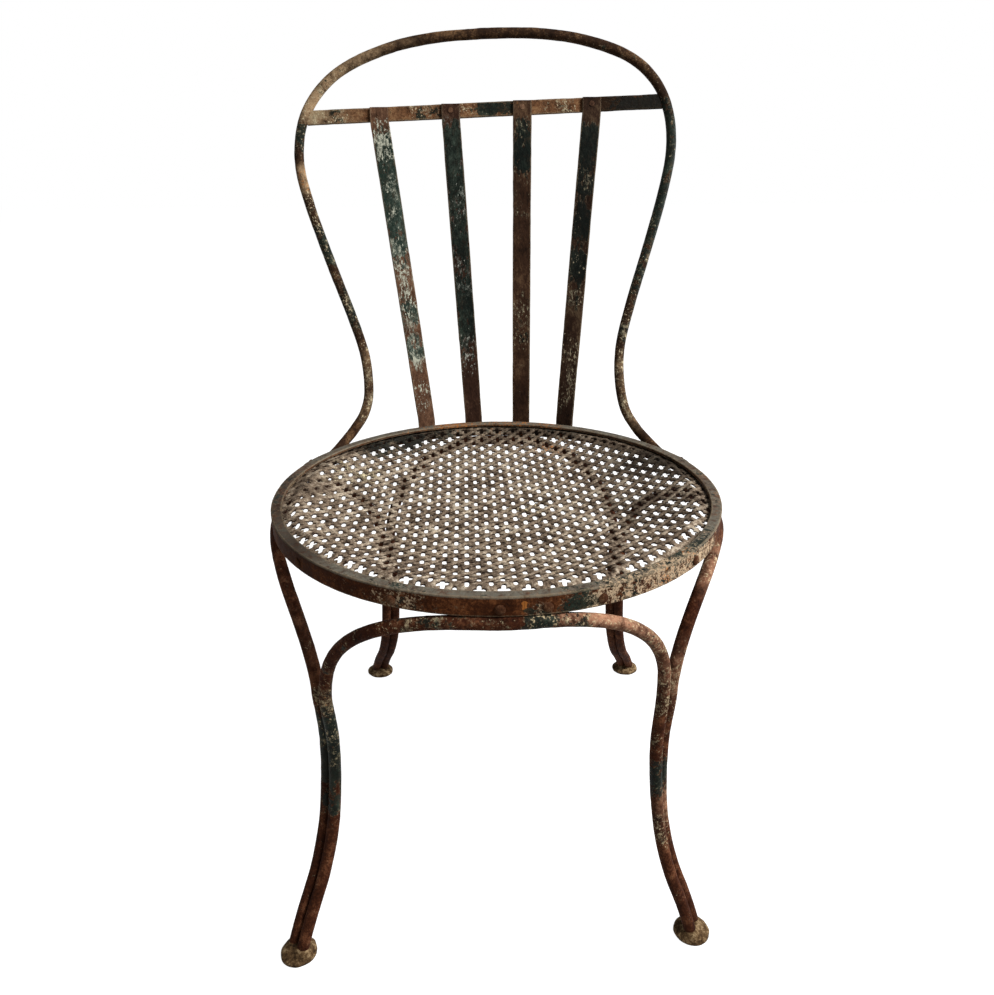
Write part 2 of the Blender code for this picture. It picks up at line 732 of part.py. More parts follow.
def centre_over_origin(pieces):
    """Shift everything so that the middle of the box lies over the origin."""
    corners = [piece.matrix_world @ Vector(corner) for piece in pieces for corner in piece.bound_box]
    middle_x = (min(c.x for c in corners) + max(c.x for c in corners)) / 2
    middle_y = (min(c.y for c in corners) + max(c.y for c in corners)) / 2
    for made in bpy.context.scene.objects:
        made.location.x -= middle_x
        made.location.y -= middle_y
    bpy.context.view_layer.update()


def main():
    """Build the chair."""
    for old in list(bpy.data.objects):
        bpy.data.objects.remove(old, do_unlink=True)
    rust = make_material("rusted_iron", (0.105, 0.055, 0.035), 0.82, 0.25)
    hoop_rust = make_material("bronze_brown_iron", (0.130, 0.085, 0.050), 0.78, 0.25)
    seat_rust = make_material("taupe_sheet", (0.150, 0.115, 0.080), 0.85, 0.20)
    slat_paint = make_material("worn_green_paint", (0.060, 0.085, 0.065), 0.70, 0.10)
    foot_rust = make_material("olive_brown_iron", (0.120, 0.090, 0.055), 0.85, 0.20)

    ring = make_ring(rust)
    splice = make_splice(rust)
    sheet = make_sheet(seat_rust)
    hoop = make_hoop(hoop_rust)
    rail = make_rail(hoop_rust)
    slats = [make_slat(index, slat_paint) for index in range(len(SLAT_TOP_PLACES))]
    arches = [make_arch(name, rust) for name in ARCHES]
    feet = [make_foot(f"foot_{name}", place, foot_rust) for name, place in FOOT_PLACES.items()]
    plan = rivet_plan()
    rivets = [make_rivet(name, point, outward, grip, rust) for name, point, outward, grip in plan]
    bores = make_bores(plan)
    for piece in [ring, splice, sheet, hoop, rail] + slats:
        drill(piece, bores)
    bpy.context.view_layer.update()
    centre_over_origin([ring, splice, sheet, hoop, rail] + slats + arches + feet + rivets)


main()
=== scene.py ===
"""Looks of the garden chair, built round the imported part.

Rusted iron rod bent into a hooped back and four leg arches, flat slats in worn green
paint, and a dished seat sheet punched with four-petalled holes.

Lengths are metres, Z is up and the chair faces -Y. Ring angles start at the front of
the seat and grow towards the right side. A piece is worked out round the seat ring's
centre, and moved to its place in the part's frame when its mesh is made.
"""
import logging
from dataclasses import dataclass, field, fields
from enum import Enum
from math import asin, atan2, cos, hypot, pi, radians, sin
from typing import Any, Sequence

import bpy
import numpy as np
from mathutils import Matrix, Vector


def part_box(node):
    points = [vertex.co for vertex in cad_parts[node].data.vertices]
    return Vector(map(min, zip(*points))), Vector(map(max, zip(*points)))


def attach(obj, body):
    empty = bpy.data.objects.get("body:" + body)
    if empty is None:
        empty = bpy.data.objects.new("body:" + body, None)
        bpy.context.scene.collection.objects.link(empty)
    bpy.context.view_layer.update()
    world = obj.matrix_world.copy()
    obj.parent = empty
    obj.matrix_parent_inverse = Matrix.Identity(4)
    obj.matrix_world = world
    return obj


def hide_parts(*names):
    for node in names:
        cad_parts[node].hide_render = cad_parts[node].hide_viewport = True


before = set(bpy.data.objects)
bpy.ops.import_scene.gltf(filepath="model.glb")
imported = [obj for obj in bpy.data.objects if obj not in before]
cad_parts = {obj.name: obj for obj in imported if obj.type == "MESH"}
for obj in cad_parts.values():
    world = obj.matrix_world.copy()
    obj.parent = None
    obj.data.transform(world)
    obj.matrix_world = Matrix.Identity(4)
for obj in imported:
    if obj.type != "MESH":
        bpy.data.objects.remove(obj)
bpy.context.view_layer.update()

Array = np.ndarray
Colour = tuple[float, float, float]
Point = tuple[float, float, float]
Span = tuple[float, float]

LOG = logging.getLogger("chair")
BODY = "root"

# Sizes that several sub-assemblies share, as in the part
CLEARANCE = 0.0003
SEAT_HEIGHT = 0.4070
RING_RADIUS = 0.2200
BAND_THICKNESS = 0.0035
BAND_HEIGHT = 0.0176
BUTT_ANGLE = radians(5.4)
SHEET_EDGE_RADIUS = 0.2160
ROD_RADIUS = 0.0060
RIVET_DROP = 0.0108
SIDES = (("left", -1), ("right", 1))

# Distance between the rings of a swept piece
STEP = 0.0015
UP = np.array([0.0, 0.0, 1.0])

RING_LOW, RING_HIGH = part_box("seat_ring")
CENTRE = np.array([(RING_LOW.x + RING_HIGH.x) / 2, (RING_LOW.y + RING_HIGH.y) / 2, 0.0])


# Numbers and noise

# Whole numbers that scramble a cell's place and a seed into a random value
CELL_FACTORS = (73856093, 19349663, 83492791)
SEED_FACTOR = 374761393
SCRAMBLES = ((15, 2246822519), (13, 3266489917))
LAST_SHIFT = np.uint64(16)
LOW_BITS = np.uint64(0xFFFFFFFF)
HALF_RANGE = 0x7FFFFFFF

# How far each seed moves a noise, in lumps
SEED_SHIFT = 17.3


def smooth(values: Array, low: float, high: float) -> Array:
    """Ease values from 0 at low to 1 at high, flat at both ends.

    Args:
        values: Numbers to ease.
        low: Value that gives 0.
        high: Value that gives 1.

    Returns:
        The eased numbers.
    """
    share = np.clip((values - low) / (high - low), 0.0, 1.0)
    return share * share * (3.0 - 2.0 * share)


def unit(vectors: Array) -> Array:
    """Scale vectors, kept in the last axis, to length 1."""
    return vectors / np.linalg.norm(vectors, axis=-1, keepdims=True)


def hashed(cells: Array, seed: int) -> Array:
    """Give each whole-number cell a fixed random value from -1 to 1.

    Args:
        cells: Whole numbers, three to a cell in the last axis.
        seed: Which set of random values to use.

    Returns:
        One value for each cell.
    """
    x, y, z = (cells[..., axis] * factor for axis, factor in enumerate(CELL_FACTORS))
    mixed = (x ^ y ^ z ^ (seed * SEED_FACTOR)).astype(np.int64).astype(np.uint64) & LOW_BITS
    for shift, factor in SCRAMBLES:
        mixed = ((mixed ^ (mixed >> np.uint64(shift))) * np.uint64(factor)) & LOW_BITS
    mixed = mixed ^ (mixed >> LAST_SHIFT)
    return mixed.astype(np.float64) / HALF_RANGE - 1.0


def value_noise(points: Array, size: float, seed: int) -> Array:
    """Smooth noise from -1 to 1 with lumps of a given size.

    Each point lies in a cube of side size, and its value is eased between the
    random values at the cube's eight corners.

    Args:
        points: Places, three coordinates in the last axis.
        size: Side of a cube.
        seed: Which set of random values to use.

    Returns:
        One value for each point.
    """
    scaled = points / size + seed * SEED_SHIFT
    cells = np.floor(scaled).astype(np.int64)
    inside = smooth(scaled - cells, 0.0, 1.0)
    total = np.zeros(points.shape[:-1])
    for corner in np.ndindex(2, 2, 2):
        offset = np.array(corner)
        weight = np.prod(np.where(offset == 1, inside, 1.0 - inside), axis=-1)
        total += weight * hashed(cells + offset, seed)
    return total


@dataclass(frozen=True)
class Relief:
    """How far a surface strays from its plain form, as waves, lumps and rust grain.

    It goes in more than it goes out, as rust eats iron away.
    """

    waves: float = 0.00018
    wave_size: float = 0.034
    lumps: float = 0.00012
    lump_size: float = 0.0085
    grain: float = 0.00008
    grain_size: float = 0.0032
    proud: float = 0.0001
    seed: int = 1

    def at(self, points: Array) -> Array:
        """Height of the relief at each point: waves, lumps and grain, cut off at proud."""
        height = (self.waves * value_noise(points, self.wave_size, self.seed)
                  + self.lumps * value_noise(points, self.lump_size, self.seed + 1)
                  + self.grain * value_noise(points, self.grain_size, self.seed + 2))
        return np.minimum(height, self.proud)


# Paths

def ring_points(angles: Array | float, radius: Array | float, z: Array | float) -> Array:
    """Points on circles round the seat's axis, with angle 0 at the front."""
    angles, radius, z = np.broadcast_arrays(angles, radius, z)
    return np.stack([radius * np.sin(angles), -radius * np.cos(angles), z], axis=-1)


def curve_through(knots: Array, steps: int = 8) -> Array:
    """Smooth curve through knots.

    Between two knots the curve is the cubic whose slope at each knot is half the
    way from the knot before to the knot after.

    Args:
        knots: Points in order.
        steps: Pieces between two knots.

    Returns:
        The curve's points, ending on the last knot.
    """
    padded = np.concatenate([[2 * knots[0] - knots[1]], knots, [2 * knots[-1] - knots[-2]]])
    p0, p1, p2, p3 = (padded[k:len(padded) - 3 + k, None, :] for k in range(4))
    t = (np.arange(steps) / steps)[None, :, None]
    spans = 0.5 * (2 * p1 + (p2 - p0) * t + (2 * p0 - 5 * p1 + 4 * p2 - p3) * t**2
                   + (3 * p1 - p0 - 3 * p2 + p3) * t**3)
    return np.concatenate([spans.reshape(-1, knots.shape[1]), knots[-1:]])


def evenly(path: Array, spacing: float = STEP) -> Array:
    """Put points at even distances along a path.

    Args:
        path: Points in order; columns after the third are carried along.
        spacing: Wanted distance between neighbours.

    Returns:
        The new points, with the path's own ends.
    """
    run = np.concatenate([[0.0], np.cumsum(np.linalg.norm(np.diff(path[:, :3], axis=0), axis=1))])
    places = np.linspace(0.0, run[-1], int(round(run[-1] / spacing)) + 1)
    return np.stack([np.interp(places, run, column) for column in path.T], axis=1)


def outward_in_plan(path: Array) -> Array:
    """Direction away from the seat's axis at each point of a path."""
    return unit(path * (1.0, 1.0, 0.0))


# Meshes

# Points round each worn corner of a bar's section
CORNER_POINTS = 5

# Smallest share to which a rod's rounded end shrinks, squared
LEAST_END = 0.04


@dataclass
class Surface:
    """Points and faces of one shell, and at each point how near it is to a worn edge, rubbed lighter
    as wear and as a painted highlight; on the seat sheet, how much painted shade it carries.
    """

    points: Array
    faces: Array
    triangles: Array
    edge: Array

    def facing_out(self) -> "Surface":
        """Turn the faces over if the volume that they enclose comes out negative.

        Returns:
            This surface, or one with its faces turned over.
        """
        a, b, c, d = (self.points[self.faces[:, k]] for k in range(4))
        volume = np.einsum("ij,ij->", a, np.cross(b, c)) + np.einsum("ij,ij->", a, np.cross(c, d))
        e, f, g = (self.points[self.triangles[:, k]] for k in range(3))
        volume += np.einsum("ij,ij->", e, np.cross(f, g))
        if volume < 0:
            return Surface(self.points, self.faces[:, ::-1], self.triangles[:, ::-1], self.edge)
        return self


def joined(surfaces: Sequence[Surface]) -> Surface:
    """Put several shells into one surface.

    Args:
        surfaces: The shells.

    Returns:
        One surface with the points and faces of all of them.
    """
    starts = np.concatenate([[0], np.cumsum([len(s.points) for s in surfaces])])
    return Surface(np.concatenate([s.points for s in surfaces]),
                   np.concatenate([s.faces + k for s, k in zip(surfaces, starts)]),
                   np.concatenate([s.triangles + k for s, k in zip(surfaces, starts)]),
                   np.concatenate([s.edge for s in surfaces]))


def skin(grid: Array, edge: Array | None = None, loop: bool = False) -> Surface:
    """Close a grid of rings into a shell.

    Row i of the grid is a ring. Rings are joined by four-sided faces, and the two
    end rings are closed with a fan round their middle, unless the rows form a loop.

    Args:
        grid: Points as rows, places round a row, and three coordinates.
        edge: Nearness to a worn edge at each place round a row, rubbed lighter as wear and as a
            painted highlight.
        loop: Whether the last row joins the first.

    Returns:
        The shell, facing outwards.
    """
    rows, columns, _ = grid.shape
    index = np.arange(rows * columns).reshape(rows, columns)
    nearer = index if loop else index[:-1]
    farther = np.roll(index, -1, axis=0) if loop else index[1:]
    faces = np.stack([nearer, np.roll(nearer, -1, axis=1), np.roll(farther, -1, axis=1), farther],
                     axis=-1).reshape(-1, 4)
    points = grid.reshape(-1, 3)
    worn = np.zeros(columns) if edge is None else edge
    worn = np.tile(worn, rows)
    triangles = np.zeros((0, 3), int)
    if not loop:
        first, last = index[0], index[-1]
        start = np.full(columns, len(points))
        triangles = np.concatenate([
            np.stack([start, np.roll(first, -1), first], axis=1),
            np.stack([start + 1, last, np.roll(last, -1)], axis=1)])
        points = np.concatenate([points, [grid[0].mean(axis=0), grid[-1].mean(axis=0)]])
        worn = np.concatenate([worn, [0.0, 0.0]])
    return Surface(points, faces, triangles, worn).facing_out()


@dataclass(frozen=True)
class Section:
    """Closed outline of a bar's cross-section with its outward directions."""

    outline: Array
    normals: Array
    edge: Array

    @staticmethod
    def of(outline: Array, edge: Array) -> "Section":
        """Work out the outward directions of an outline.

        Each direction is square to the line between the two neighbours.

        Args:
            outline: Points in order round the section.
            edge: Nearness of each point to a worn edge, rubbed lighter as wear and as a painted
                highlight.

        Returns:
            The section.
        """
        along = unit(np.roll(outline, -1, axis=0) - np.roll(outline, 1, axis=0))
        after = np.roll(outline, -1, axis=0)
        turn = np.sign(np.sum(outline[:, 0] * after[:, 1] - outline[:, 1] * after[:, 0]))
        return Section(outline, np.stack([along[:, 1], -along[:, 0]], axis=1) * turn, edge)

    @staticmethod
    def round(radius: float, sides: int = 28) -> "Section":
        """Section of a round rod.

        Args:
            radius: The rod's radius.
            sides: Points round it.

        Returns:
            The section.
        """
        turn = 2 * pi * np.arange(sides) / sides
        outline = radius * np.stack([np.cos(turn), np.sin(turn)], axis=1)
        return Section.of(outline, np.zeros(sides))

    @staticmethod
    def rounded(corners: Sequence[tuple[float, float]], radius: float,
                spacing: float = 0.0016) -> "Section":
        """Section with straight sides and worn, rounded corners.

        Round each corner the outline is the parabola that touches both sides at the
        given distance from the corner; the rest of each side is cut into even pieces.

        Args:
            corners: The corners in order.
            radius: Distance from a corner at which its rounding begins.
            spacing: Largest distance between points on a side.

        Returns:
            The section.
        """
        points = np.array(corners, float)
        before = unit(np.roll(points, 1, axis=0) - points)
        after = unit(np.roll(points, -1, axis=0) - points)
        turn = before[:, 0] * after[:, 1] - before[:, 1] * after[:, 0]
        main = np.sign(np.sum(turn))
        t = np.linspace(0.0, 1.0, CORNER_POINTS)[:, None]
        outline: list[Array] = []
        edge: list[Array] = []
        for k, corner in enumerate(points):
            start = corner + before[k] * radius
            end = corner + after[k] * radius
            outline.append((1 - t)**2 * start + 2 * t * (1 - t) * corner + t**2 * end)
            edge.append(np.full(CORNER_POINTS, 1.0 if turn[k] * main > 0 else 0.0))
            following = (k + 1) % len(points)
            goal = points[following] + before[following] * radius
            pieces = max(2, int(np.linalg.norm(goal - end) / spacing) + 1)
            share = (np.arange(1, pieces) / pieces)[:, None]
            outline.append(end + (goal - end) * share)
            edge.append(np.zeros(pieces - 1))
        return Section.of(np.concatenate(outline), np.concatenate(edge))


def flat_bar(width: float, thickness: float, radius: float) -> Section:
    """Section of a flat bar with worn edges."""
    a, b = width / 2, thickness / 2
    return Section.rounded([(-a, -b), (a, -b), (a, b), (-a, b)], radius)


def swept(path: Array, sides: Array, section: Section, relief: Relief,
          swell: Array | None = None, loop: bool = False) -> Surface:
    """Carry a section along a path.

    At each point of the path the section's first axis is the side direction made
    square to the path, and its second axis is square to both. The skin then moves
    along its outward direction by the relief's height.

    Args:
        path: Points in order.
        sides: Side direction at each point.
        section: The cross-section.
        relief: Unevenness of the skin.
        swell: Scale of the section at each point of the path.
        loop: Whether the path closes on itself.

    Returns:
        The closed shell.
    """
    if loop:
        along = unit(np.roll(path, -1, axis=0) - np.roll(path, 1, axis=0))
    else:
        along = unit(np.gradient(path, axis=0))
    first = unit(sides - along * np.sum(sides * along, axis=1, keepdims=True))
    second = np.cross(along, first)
    scale = np.ones(len(path)) if swell is None else swell
    a, b = section.outline.T
    grid = (path[:, None] + scale[:, None, None]
            * (first[:, None] * a[None, :, None] + second[:, None] * b[None, :, None]))
    normal_a, normal_b = section.normals.T
    outward = first[:, None] * normal_a[None, :, None] + second[:, None] * normal_b[None, :, None]
    grid = grid + outward * (relief.at(grid) * scale[:, None])[..., None]
    return skin(grid, section.edge, loop)


def round_ends(path: Array, reach: float) -> Array:
    """Scale of a rod's section that rounds off both of its ends.

    The scale is the height of a circle's quarter over the distance from the end.

    Args:
        path: The rod's centre line.
        reach: Distance from an end at which its rounding begins.

    Returns:
        The scale at each point of the path.
    """
    run = np.concatenate([[0.0], np.cumsum(np.linalg.norm(np.diff(path, axis=0), axis=1))])
    inside = np.clip(np.minimum(run, run[-1] - run) / reach, 0.0, 1.0)
    return np.sqrt(np.clip(1.0 - (1.0 - inside)**2, LEAST_END, 1.0))


def turned(profile: Array, origin: Array, axis: Array, relief: Relief,
           segments: int = 24) -> Surface:
    """Turn a profile about an axis.

    Args:
        profile: Points as (radius, height along the axis).
        origin: Where the axis starts.
        axis: Its unit direction.
        relief: Unevenness, along the spokes.
        segments: Points round the axis.

    Returns:
        The closed shell.
    """
    reference = UP if abs(axis[2]) < 0.9 else np.array([1.0, 0.0, 0.0])
    first = unit(np.cross(reference, axis))
    second = np.cross(axis, first)
    turn = 2 * pi * np.arange(segments) / segments
    spoke = np.cos(turn)[:, None] * first + np.sin(turn)[:, None] * second
    grid = origin + profile[:, None, None, 1] * axis + profile[:, None, None, 0] * spoke
    return skin(grid + spoke * relief.at(grid)[..., None])


# Stains: where old paint, pale scale and ochre lie

# Shares of a stain's reach at which it begins to fade and is gone
STAIN_CORE = 0.25
STAIN_END = 1.15


@dataclass(frozen=True, kw_only=True)
class Cover:
    """Amounts of old paint, pale scale, ochre, grime that in places is painted shade, and dust that
    in places is a painted highlight.
    """

    paint: float = 0.0
    pale: float = 0.0
    warm: float = 0.0
    # Grime darkens; in places it is painted shade
    grime: float = 0.0
    # Dust pales; in places it is a painted highlight on lit sides
    dust: float = 0.0


@dataclass(frozen=True)
class Stain(Cover):
    """A soft-edged round place and what it adds."""

    place: Point
    reach: float

    def strength(self, points: Array) -> Array:
        """1 near the stain's middle, eased to 0 a little past its reach."""
        distance = np.linalg.norm(points - np.array(self.place), axis=1)
        return 1.0 - smooth(distance, self.reach * STAIN_CORE, self.reach * STAIN_END)


@dataclass(frozen=True)
class Layer(Cover):
    """A level stretch of a piece and what it adds."""

    bottom: float
    top: float
    fade: float = 0.0006

    def strength(self, points: Array) -> Array:
        """1 from the bottom to the top, faded out beyond both."""
        z = points[:, 2]
        return (smooth(z, self.bottom - self.fade, self.bottom)
                * (1.0 - smooth(z, self.top, self.top + self.fade)))


@dataclass(frozen=True)
class Coat(Cover):
    """What covers a piece: even amounts, with layers and stains on top of them."""

    stains: tuple[Stain, ...] = ()
    layers: tuple[Layer, ...] = ()
    most_pale: float = 0.42

    def amounts(self, points: Array) -> dict[str, Array]:
        """Amount of each covering at each point.

        Pale scale is held below a limit, so that it stays broken up.

        Args:
            points: Places in the part's frame.

        Returns:
            For each covering's name, one number for each point.
        """
        result = {part.name: np.full(len(points), float(getattr(self, part.name)))
                  for part in fields(Cover)}
        for patch in (*self.layers, *self.stains):
            strength = patch.strength(points)
            for name, values in result.items():
                values += getattr(patch, name) * strength
        result["pale"] = np.minimum(result["pale"], self.most_pale)
        return result


# Shader graphs

Input = Any

# Brings Blender's noise about its middle to about -1 to 1
NOISE_SPREAD = 3.2


class Socket:
    """A number in a node graph. Arithmetic on it adds Math nodes."""

    def __init__(self, graph: "Graph", source: bpy.types.NodeSocket) -> None:
        """Wrap a node's output."""
        self.graph = graph
        self.source = source

    def _math(self, operation: str, first: Input, second: Input) -> "Socket":
        """Add one Math node."""
        return self.graph.node("ShaderNodeMath", {"operation": operation}, {0: first, 1: second})

    def __add__(self, other: Input) -> "Socket":
        """Sum of two numbers."""
        return self._math("ADD", self, other)

    __radd__ = __add__

    def __sub__(self, other: Input) -> "Socket":
        """Difference of two numbers."""
        return self._math("SUBTRACT", self, other)

    def __rsub__(self, other: Input) -> "Socket":
        """Difference with the plain number first."""
        return self._math("SUBTRACT", other, self)

    def __mul__(self, other: Input) -> "Socket":
        """Product of two numbers."""
        return self._math("MULTIPLY", self, other)

    __rmul__ = __mul__

    def ease(self, low: float, high: float) -> "Socket":
        """0 below low, 1 above high, and eased between them."""
        return self.graph.node("ShaderNodeMapRange", {"interpolation_type": "SMOOTHSTEP"},
                               {"Value": self, "From Min": low, "From Max": high})


class Graph:
    """The node graph of one material or world."""

    def __init__(self, owner: bpy.types.Material | bpy.types.World) -> None:
        """Start an empty graph.

        Args:
            owner: The material or world that it belongs to.
        """
        owner.use_nodes = True
        self.tree = owner.node_tree
        self.tree.nodes.clear()

    def add(self, kind: str, settings: dict[str, Any], inputs: dict[Any, Input]) -> bpy.types.Node:
        """Add a node, set it up and join its inputs.

        Args:
            kind: Blender's name of the node type.
            settings: The node's own settings; stops are a ramp's (place, colour) pairs.
            inputs: A value or a Socket for each input's name or number.

        Returns:
            The node.
        """
        node = self.tree.nodes.new(kind)
        for name, value in settings.items():
            if name == "stops":
                elements = node.color_ramp.elements
                while len(elements) < len(value):
                    elements.new(0.5)
                for element, (place, colour) in zip(elements, value):
                    element.position = place
                    element.color = (*colour, 1.0)
            else:
                setattr(node, name, value)
        for key, value in inputs.items():
            if isinstance(value, Socket):
                self.tree.links.new(value.source, node.inputs[key])
            else:
                node.inputs[key].default_value = value
        return node

    def node(self, kind: str, settings: dict[str, Any], inputs: dict[Any, Input],
             output: int | str = 0) -> Socket:
        """Add a node and give one of its outputs."""
        return Socket(self, self.add(kind, settings, inputs).outputs[output])

    def mixed(self, first: Input, second: Input, share: Input) -> Socket:
        """Go from one colour to another.

        Args:
            first: Colour at share 0.
            second: Colour at share 1.
            share: How far to go.

        Returns:
            The mixed colour.
        """
        ends = [value if isinstance(value, Socket) else (*value, 1.0) for value in (first, second)]
        return self.node("ShaderNodeMix", {"data_type": "RGBA"},
                         {0: share, 6: ends[0], 7: ends[1]}, 2)

    def amount(self, name: str) -> Socket:
        """Read a number that is stored on the mesh's points."""
        return self.node("ShaderNodeAttribute", {"attribute_name": name}, {}, "Fac")

    def noise(self, place: Socket, lump: float, detail: float, rough: float = 0.6,
              seed: float = 0.0) -> Socket:
        """Noise about 0, from about -1 to 1.

        Args:
            place: Where it is read.
            lump: Size of its lumps in metres.
            detail: How many finer noises are added to it.
            rough: How strong these are.
            seed: Which noise it is.

        Returns:
            The noise.
        """
        plain = self.node("ShaderNodeTexNoise", {"noise_dimensions": "4D"},
                          {"Vector": place, "W": seed, "Scale": 1.0 / lump, "Detail": detail,
                           "Roughness": rough})
        return (plain - 0.5) * NOISE_SPREAD


def srgb(red: int, green: int, blue: int) -> Colour:
    """Turn a screen colour into the linear one that Blender uses.

    Args:
        red: Red part, from 0 to 255, as the others are.
        green: Green part.
        blue: Blue part.

    Returns:
        The linear colour.
    """
    parts = np.array([red, green, blue]) / 255.0
    linear = np.where(parts <= 0.04045, parts / 12.92, ((parts + 0.055) / 1.055)**2.4)
    return tuple(float(part) for part in linear)


# Finishes

@dataclass(frozen=True)
class Noises:
    """Noises about 0, each with lumps of its own size, that break up the coverings."""

    broad: Socket
    medium: Socket
    flakes: Socket
    fine: Socket
    grain: Socket
    clusters: Socket
    chips: Socket
    specks: Socket


@dataclass(frozen=True)
class IronFinish:
    """Rusted iron under the remains of green paint and pale scale.

    Rust runs through three tones with dark pits in it. Paint lies where its amount
    on the mesh and noise pass a threshold, with a pale border of primer. Pale scale
    and ochre bloom in the same way. Worn edges are rubbed lighter, which also paints a
    highlight along them; on the seat sheet the edge colour is dark and paints shade on
    the hole walls, the underside and the turned-down edge. A film of dust is in places
    a painted highlight, and grime is in places painted shade.
    """

    name: str
    dark: Colour
    middle: Colour
    light: Colour
    paint_dark: Colour = srgb(9, 15, 11)
    paint_light: Colour = srgb(50, 60, 50)
    pale: Colour = srgb(182, 166, 136)
    moss: Colour = srgb(92, 98, 80)
    ochre: Colour = srgb(156, 96, 44)
    # Colour of rubbed edges, lighter as wear and as a painted highlight; the seat sheet's dark one is
    # painted shade
    worn: Colour = srgb(128, 112, 90)
    # Colour of the film of dust, which in places is a painted highlight
    dust: Colour = srgb(94, 90, 80)
    # Colour of pits and of grime, which in places is painted shade
    soot_and_shade: Colour = srgb(12, 7, 4)
    worn_share: float = 0.5
    contrast: float = 1.25
    stretch: float = 1.0
    rust_lump: float = 0.011
    bump: float = 0.6
    bump_depth: float = 0.0006
    gloss: float = 0.05

    # Places of the three tones of rust on their scale, and the middle of the scale's use
    tones: tuple[float, float, float] = (0.20, 0.50, 0.88)
    mean_tone: float = 0.47

    # Spans over which a covering goes from nothing to full, and its share when full
    film_span: Span = (0.06, 0.98)
    pit_span: Span = (0.38, 0.66)
    pit_share: float = 0.8
    primer_span: Span = (0.36, 0.46)
    primer_share: float = 0.55
    paint_span: Span = (0.46, 0.56)
    thin_share: float = 0.42
    scale_span: Span = (0.44, 0.78)
    scale_share: float = 0.95
    fleck_span: Span = (0.48, 0.62)
    ochre_span: Span = (0.44, 0.58)
    ochre_share: float = 0.85
    rub_and_shade_span: Span = (0.30, 0.66)
    grime_and_shade_span: Span = (0.08, 0.72)
    grime_and_shade_share: float = 0.85

    def noises(self, graph: Graph) -> Noises:
        """Make the noises, drawn out upwards by the finish's stretch.

        Args:
            graph: The material's graph.

        Returns:
            The noises.
        """
        place = graph.node("ShaderNodeTexCoord", {}, {}, "Object")
        if self.stretch != 1.0:
            place = graph.node("ShaderNodeMapping", {},
                               {"Vector": place, "Scale": (1.0, 1.0, 1.0 / self.stretch)})
        return Noises(
            broad=graph.noise(place, lump=self.rust_lump * 3.0, detail=2.0),
            medium=graph.noise(place, lump=self.rust_lump, detail=4.0, rough=0.65),
            flakes=graph.noise(place, lump=0.0058, detail=3.0, rough=0.65),
            fine=graph.noise(place, lump=0.0024, detail=3.0, rough=0.65),
            grain=graph.noise(place, lump=0.0009, detail=2.0),
            clusters=graph.noise(place, lump=0.020, detail=2.0, seed=3.0),
            chips=graph.noise(place, lump=0.0042, detail=4.0, rough=0.75, seed=5.0),
            specks=graph.noise(place, lump=0.0020, detail=2.0, seed=7.0))

    def bare(self, graph: Graph, noise: Noises, pits: Socket) -> Socket:
        """Colour of bare iron: three tones of rust, a film of dust that in places is a painted
        highlight, and dark pits.

        Args:
            graph: The material's graph.
            noise: Its noises.
            pits: 1 where the iron is pitted.

        Returns:
            The colour.
        """
        spread = noise.broad * 0.17 + noise.medium * 0.22 + noise.fine * 0.17 + noise.grain * 0.09
        stops = list(zip(self.tones, (self.dark, self.middle, self.light)))
        rust = graph.node("ShaderNodeValToRGB", {"stops": stops},
                          {"Fac": self.mean_tone + spread * self.contrast})
        # The film of dust is in places a painted highlight on lit sides
        film = graph.amount("dust") * (1.0 + noise.medium * 0.70 + noise.chips * 0.80)
        rust = graph.mixed(rust, self.dust, film.ease(*self.film_span))
        return graph.mixed(rust, self.soot_and_shade, pits * self.pit_share)

    def paint(self, graph: Graph, noise: Noises, rust: Socket) -> Socket:
        """Colour of the paint: two greens, worn thin over the rust in places.

        Args:
            graph: The material's graph.
            noise: Its noises.
            rust: Colour of the bare iron.

        Returns:
            The colour.
        """
        shade = 0.26 + noise.chips * 0.55 + noise.broad * 0.35 + noise.grain * 0.30
        green = graph.mixed(self.paint_dark, self.paint_light, shade.ease(0.0, 1.0))
        thin = 0.14 + noise.flakes * 0.5 + noise.fine * 0.4
        return graph.mixed(green, rust, thin.ease(0.0, 1.0) * self.thin_share)

    def weathered(self, graph: Graph, noise: Noises, colour: Socket) -> Socket:
        """Add what lies on everything: blooms of ochre, edges rubbed lighter with a painted highlight
        (on the seat sheet, hole walls painted dark as shade), and grime that in places is painted
        shade.

        Args:
            graph: The material's graph.
            noise: Its noises.
            colour: Colour of iron, paint and scale.

        Returns:
            The colour.
        """
        bloom = graph.amount("warm") + noise.specks * 0.36 + noise.broad * 0.20
        colour = graph.mixed(colour, self.ochre, bloom.ease(*self.ochre_span) * self.ochre_share)
        # Edges rubbed lighter, as wear and as a painted highlight; on the seat sheet, painted shade
        # on the hole walls, the underside and the turned-down edge
        rubbed_and_shaded = graph.amount("edge") * 0.55 + noise.flakes * 0.30 + noise.grain * 0.18
        colour = graph.mixed(colour, self.worn, rubbed_and_shaded.ease(*self.rub_and_shade_span) * self.worn_share)
        # Grime, which in places is painted shade
        grime = graph.amount("grime") * (1.0 + noise.medium * 0.45 + noise.chips * 0.45)
        return graph.mixed(colour, self.soot_and_shade, grime.ease(*self.grime_and_shade_span) * self.grime_and_shade_share)

    def make(self) -> bpy.types.Material:
        """Build the material.

        Returns:
            The material.
        """
        material = bpy.data.materials.new(self.name)
        graph = Graph(material)
        noise = self.noises(graph)
        pits = (noise.fine * 0.8 + noise.medium * 0.35).ease(*self.pit_span)
        rust = self.bare(graph, noise, pits)

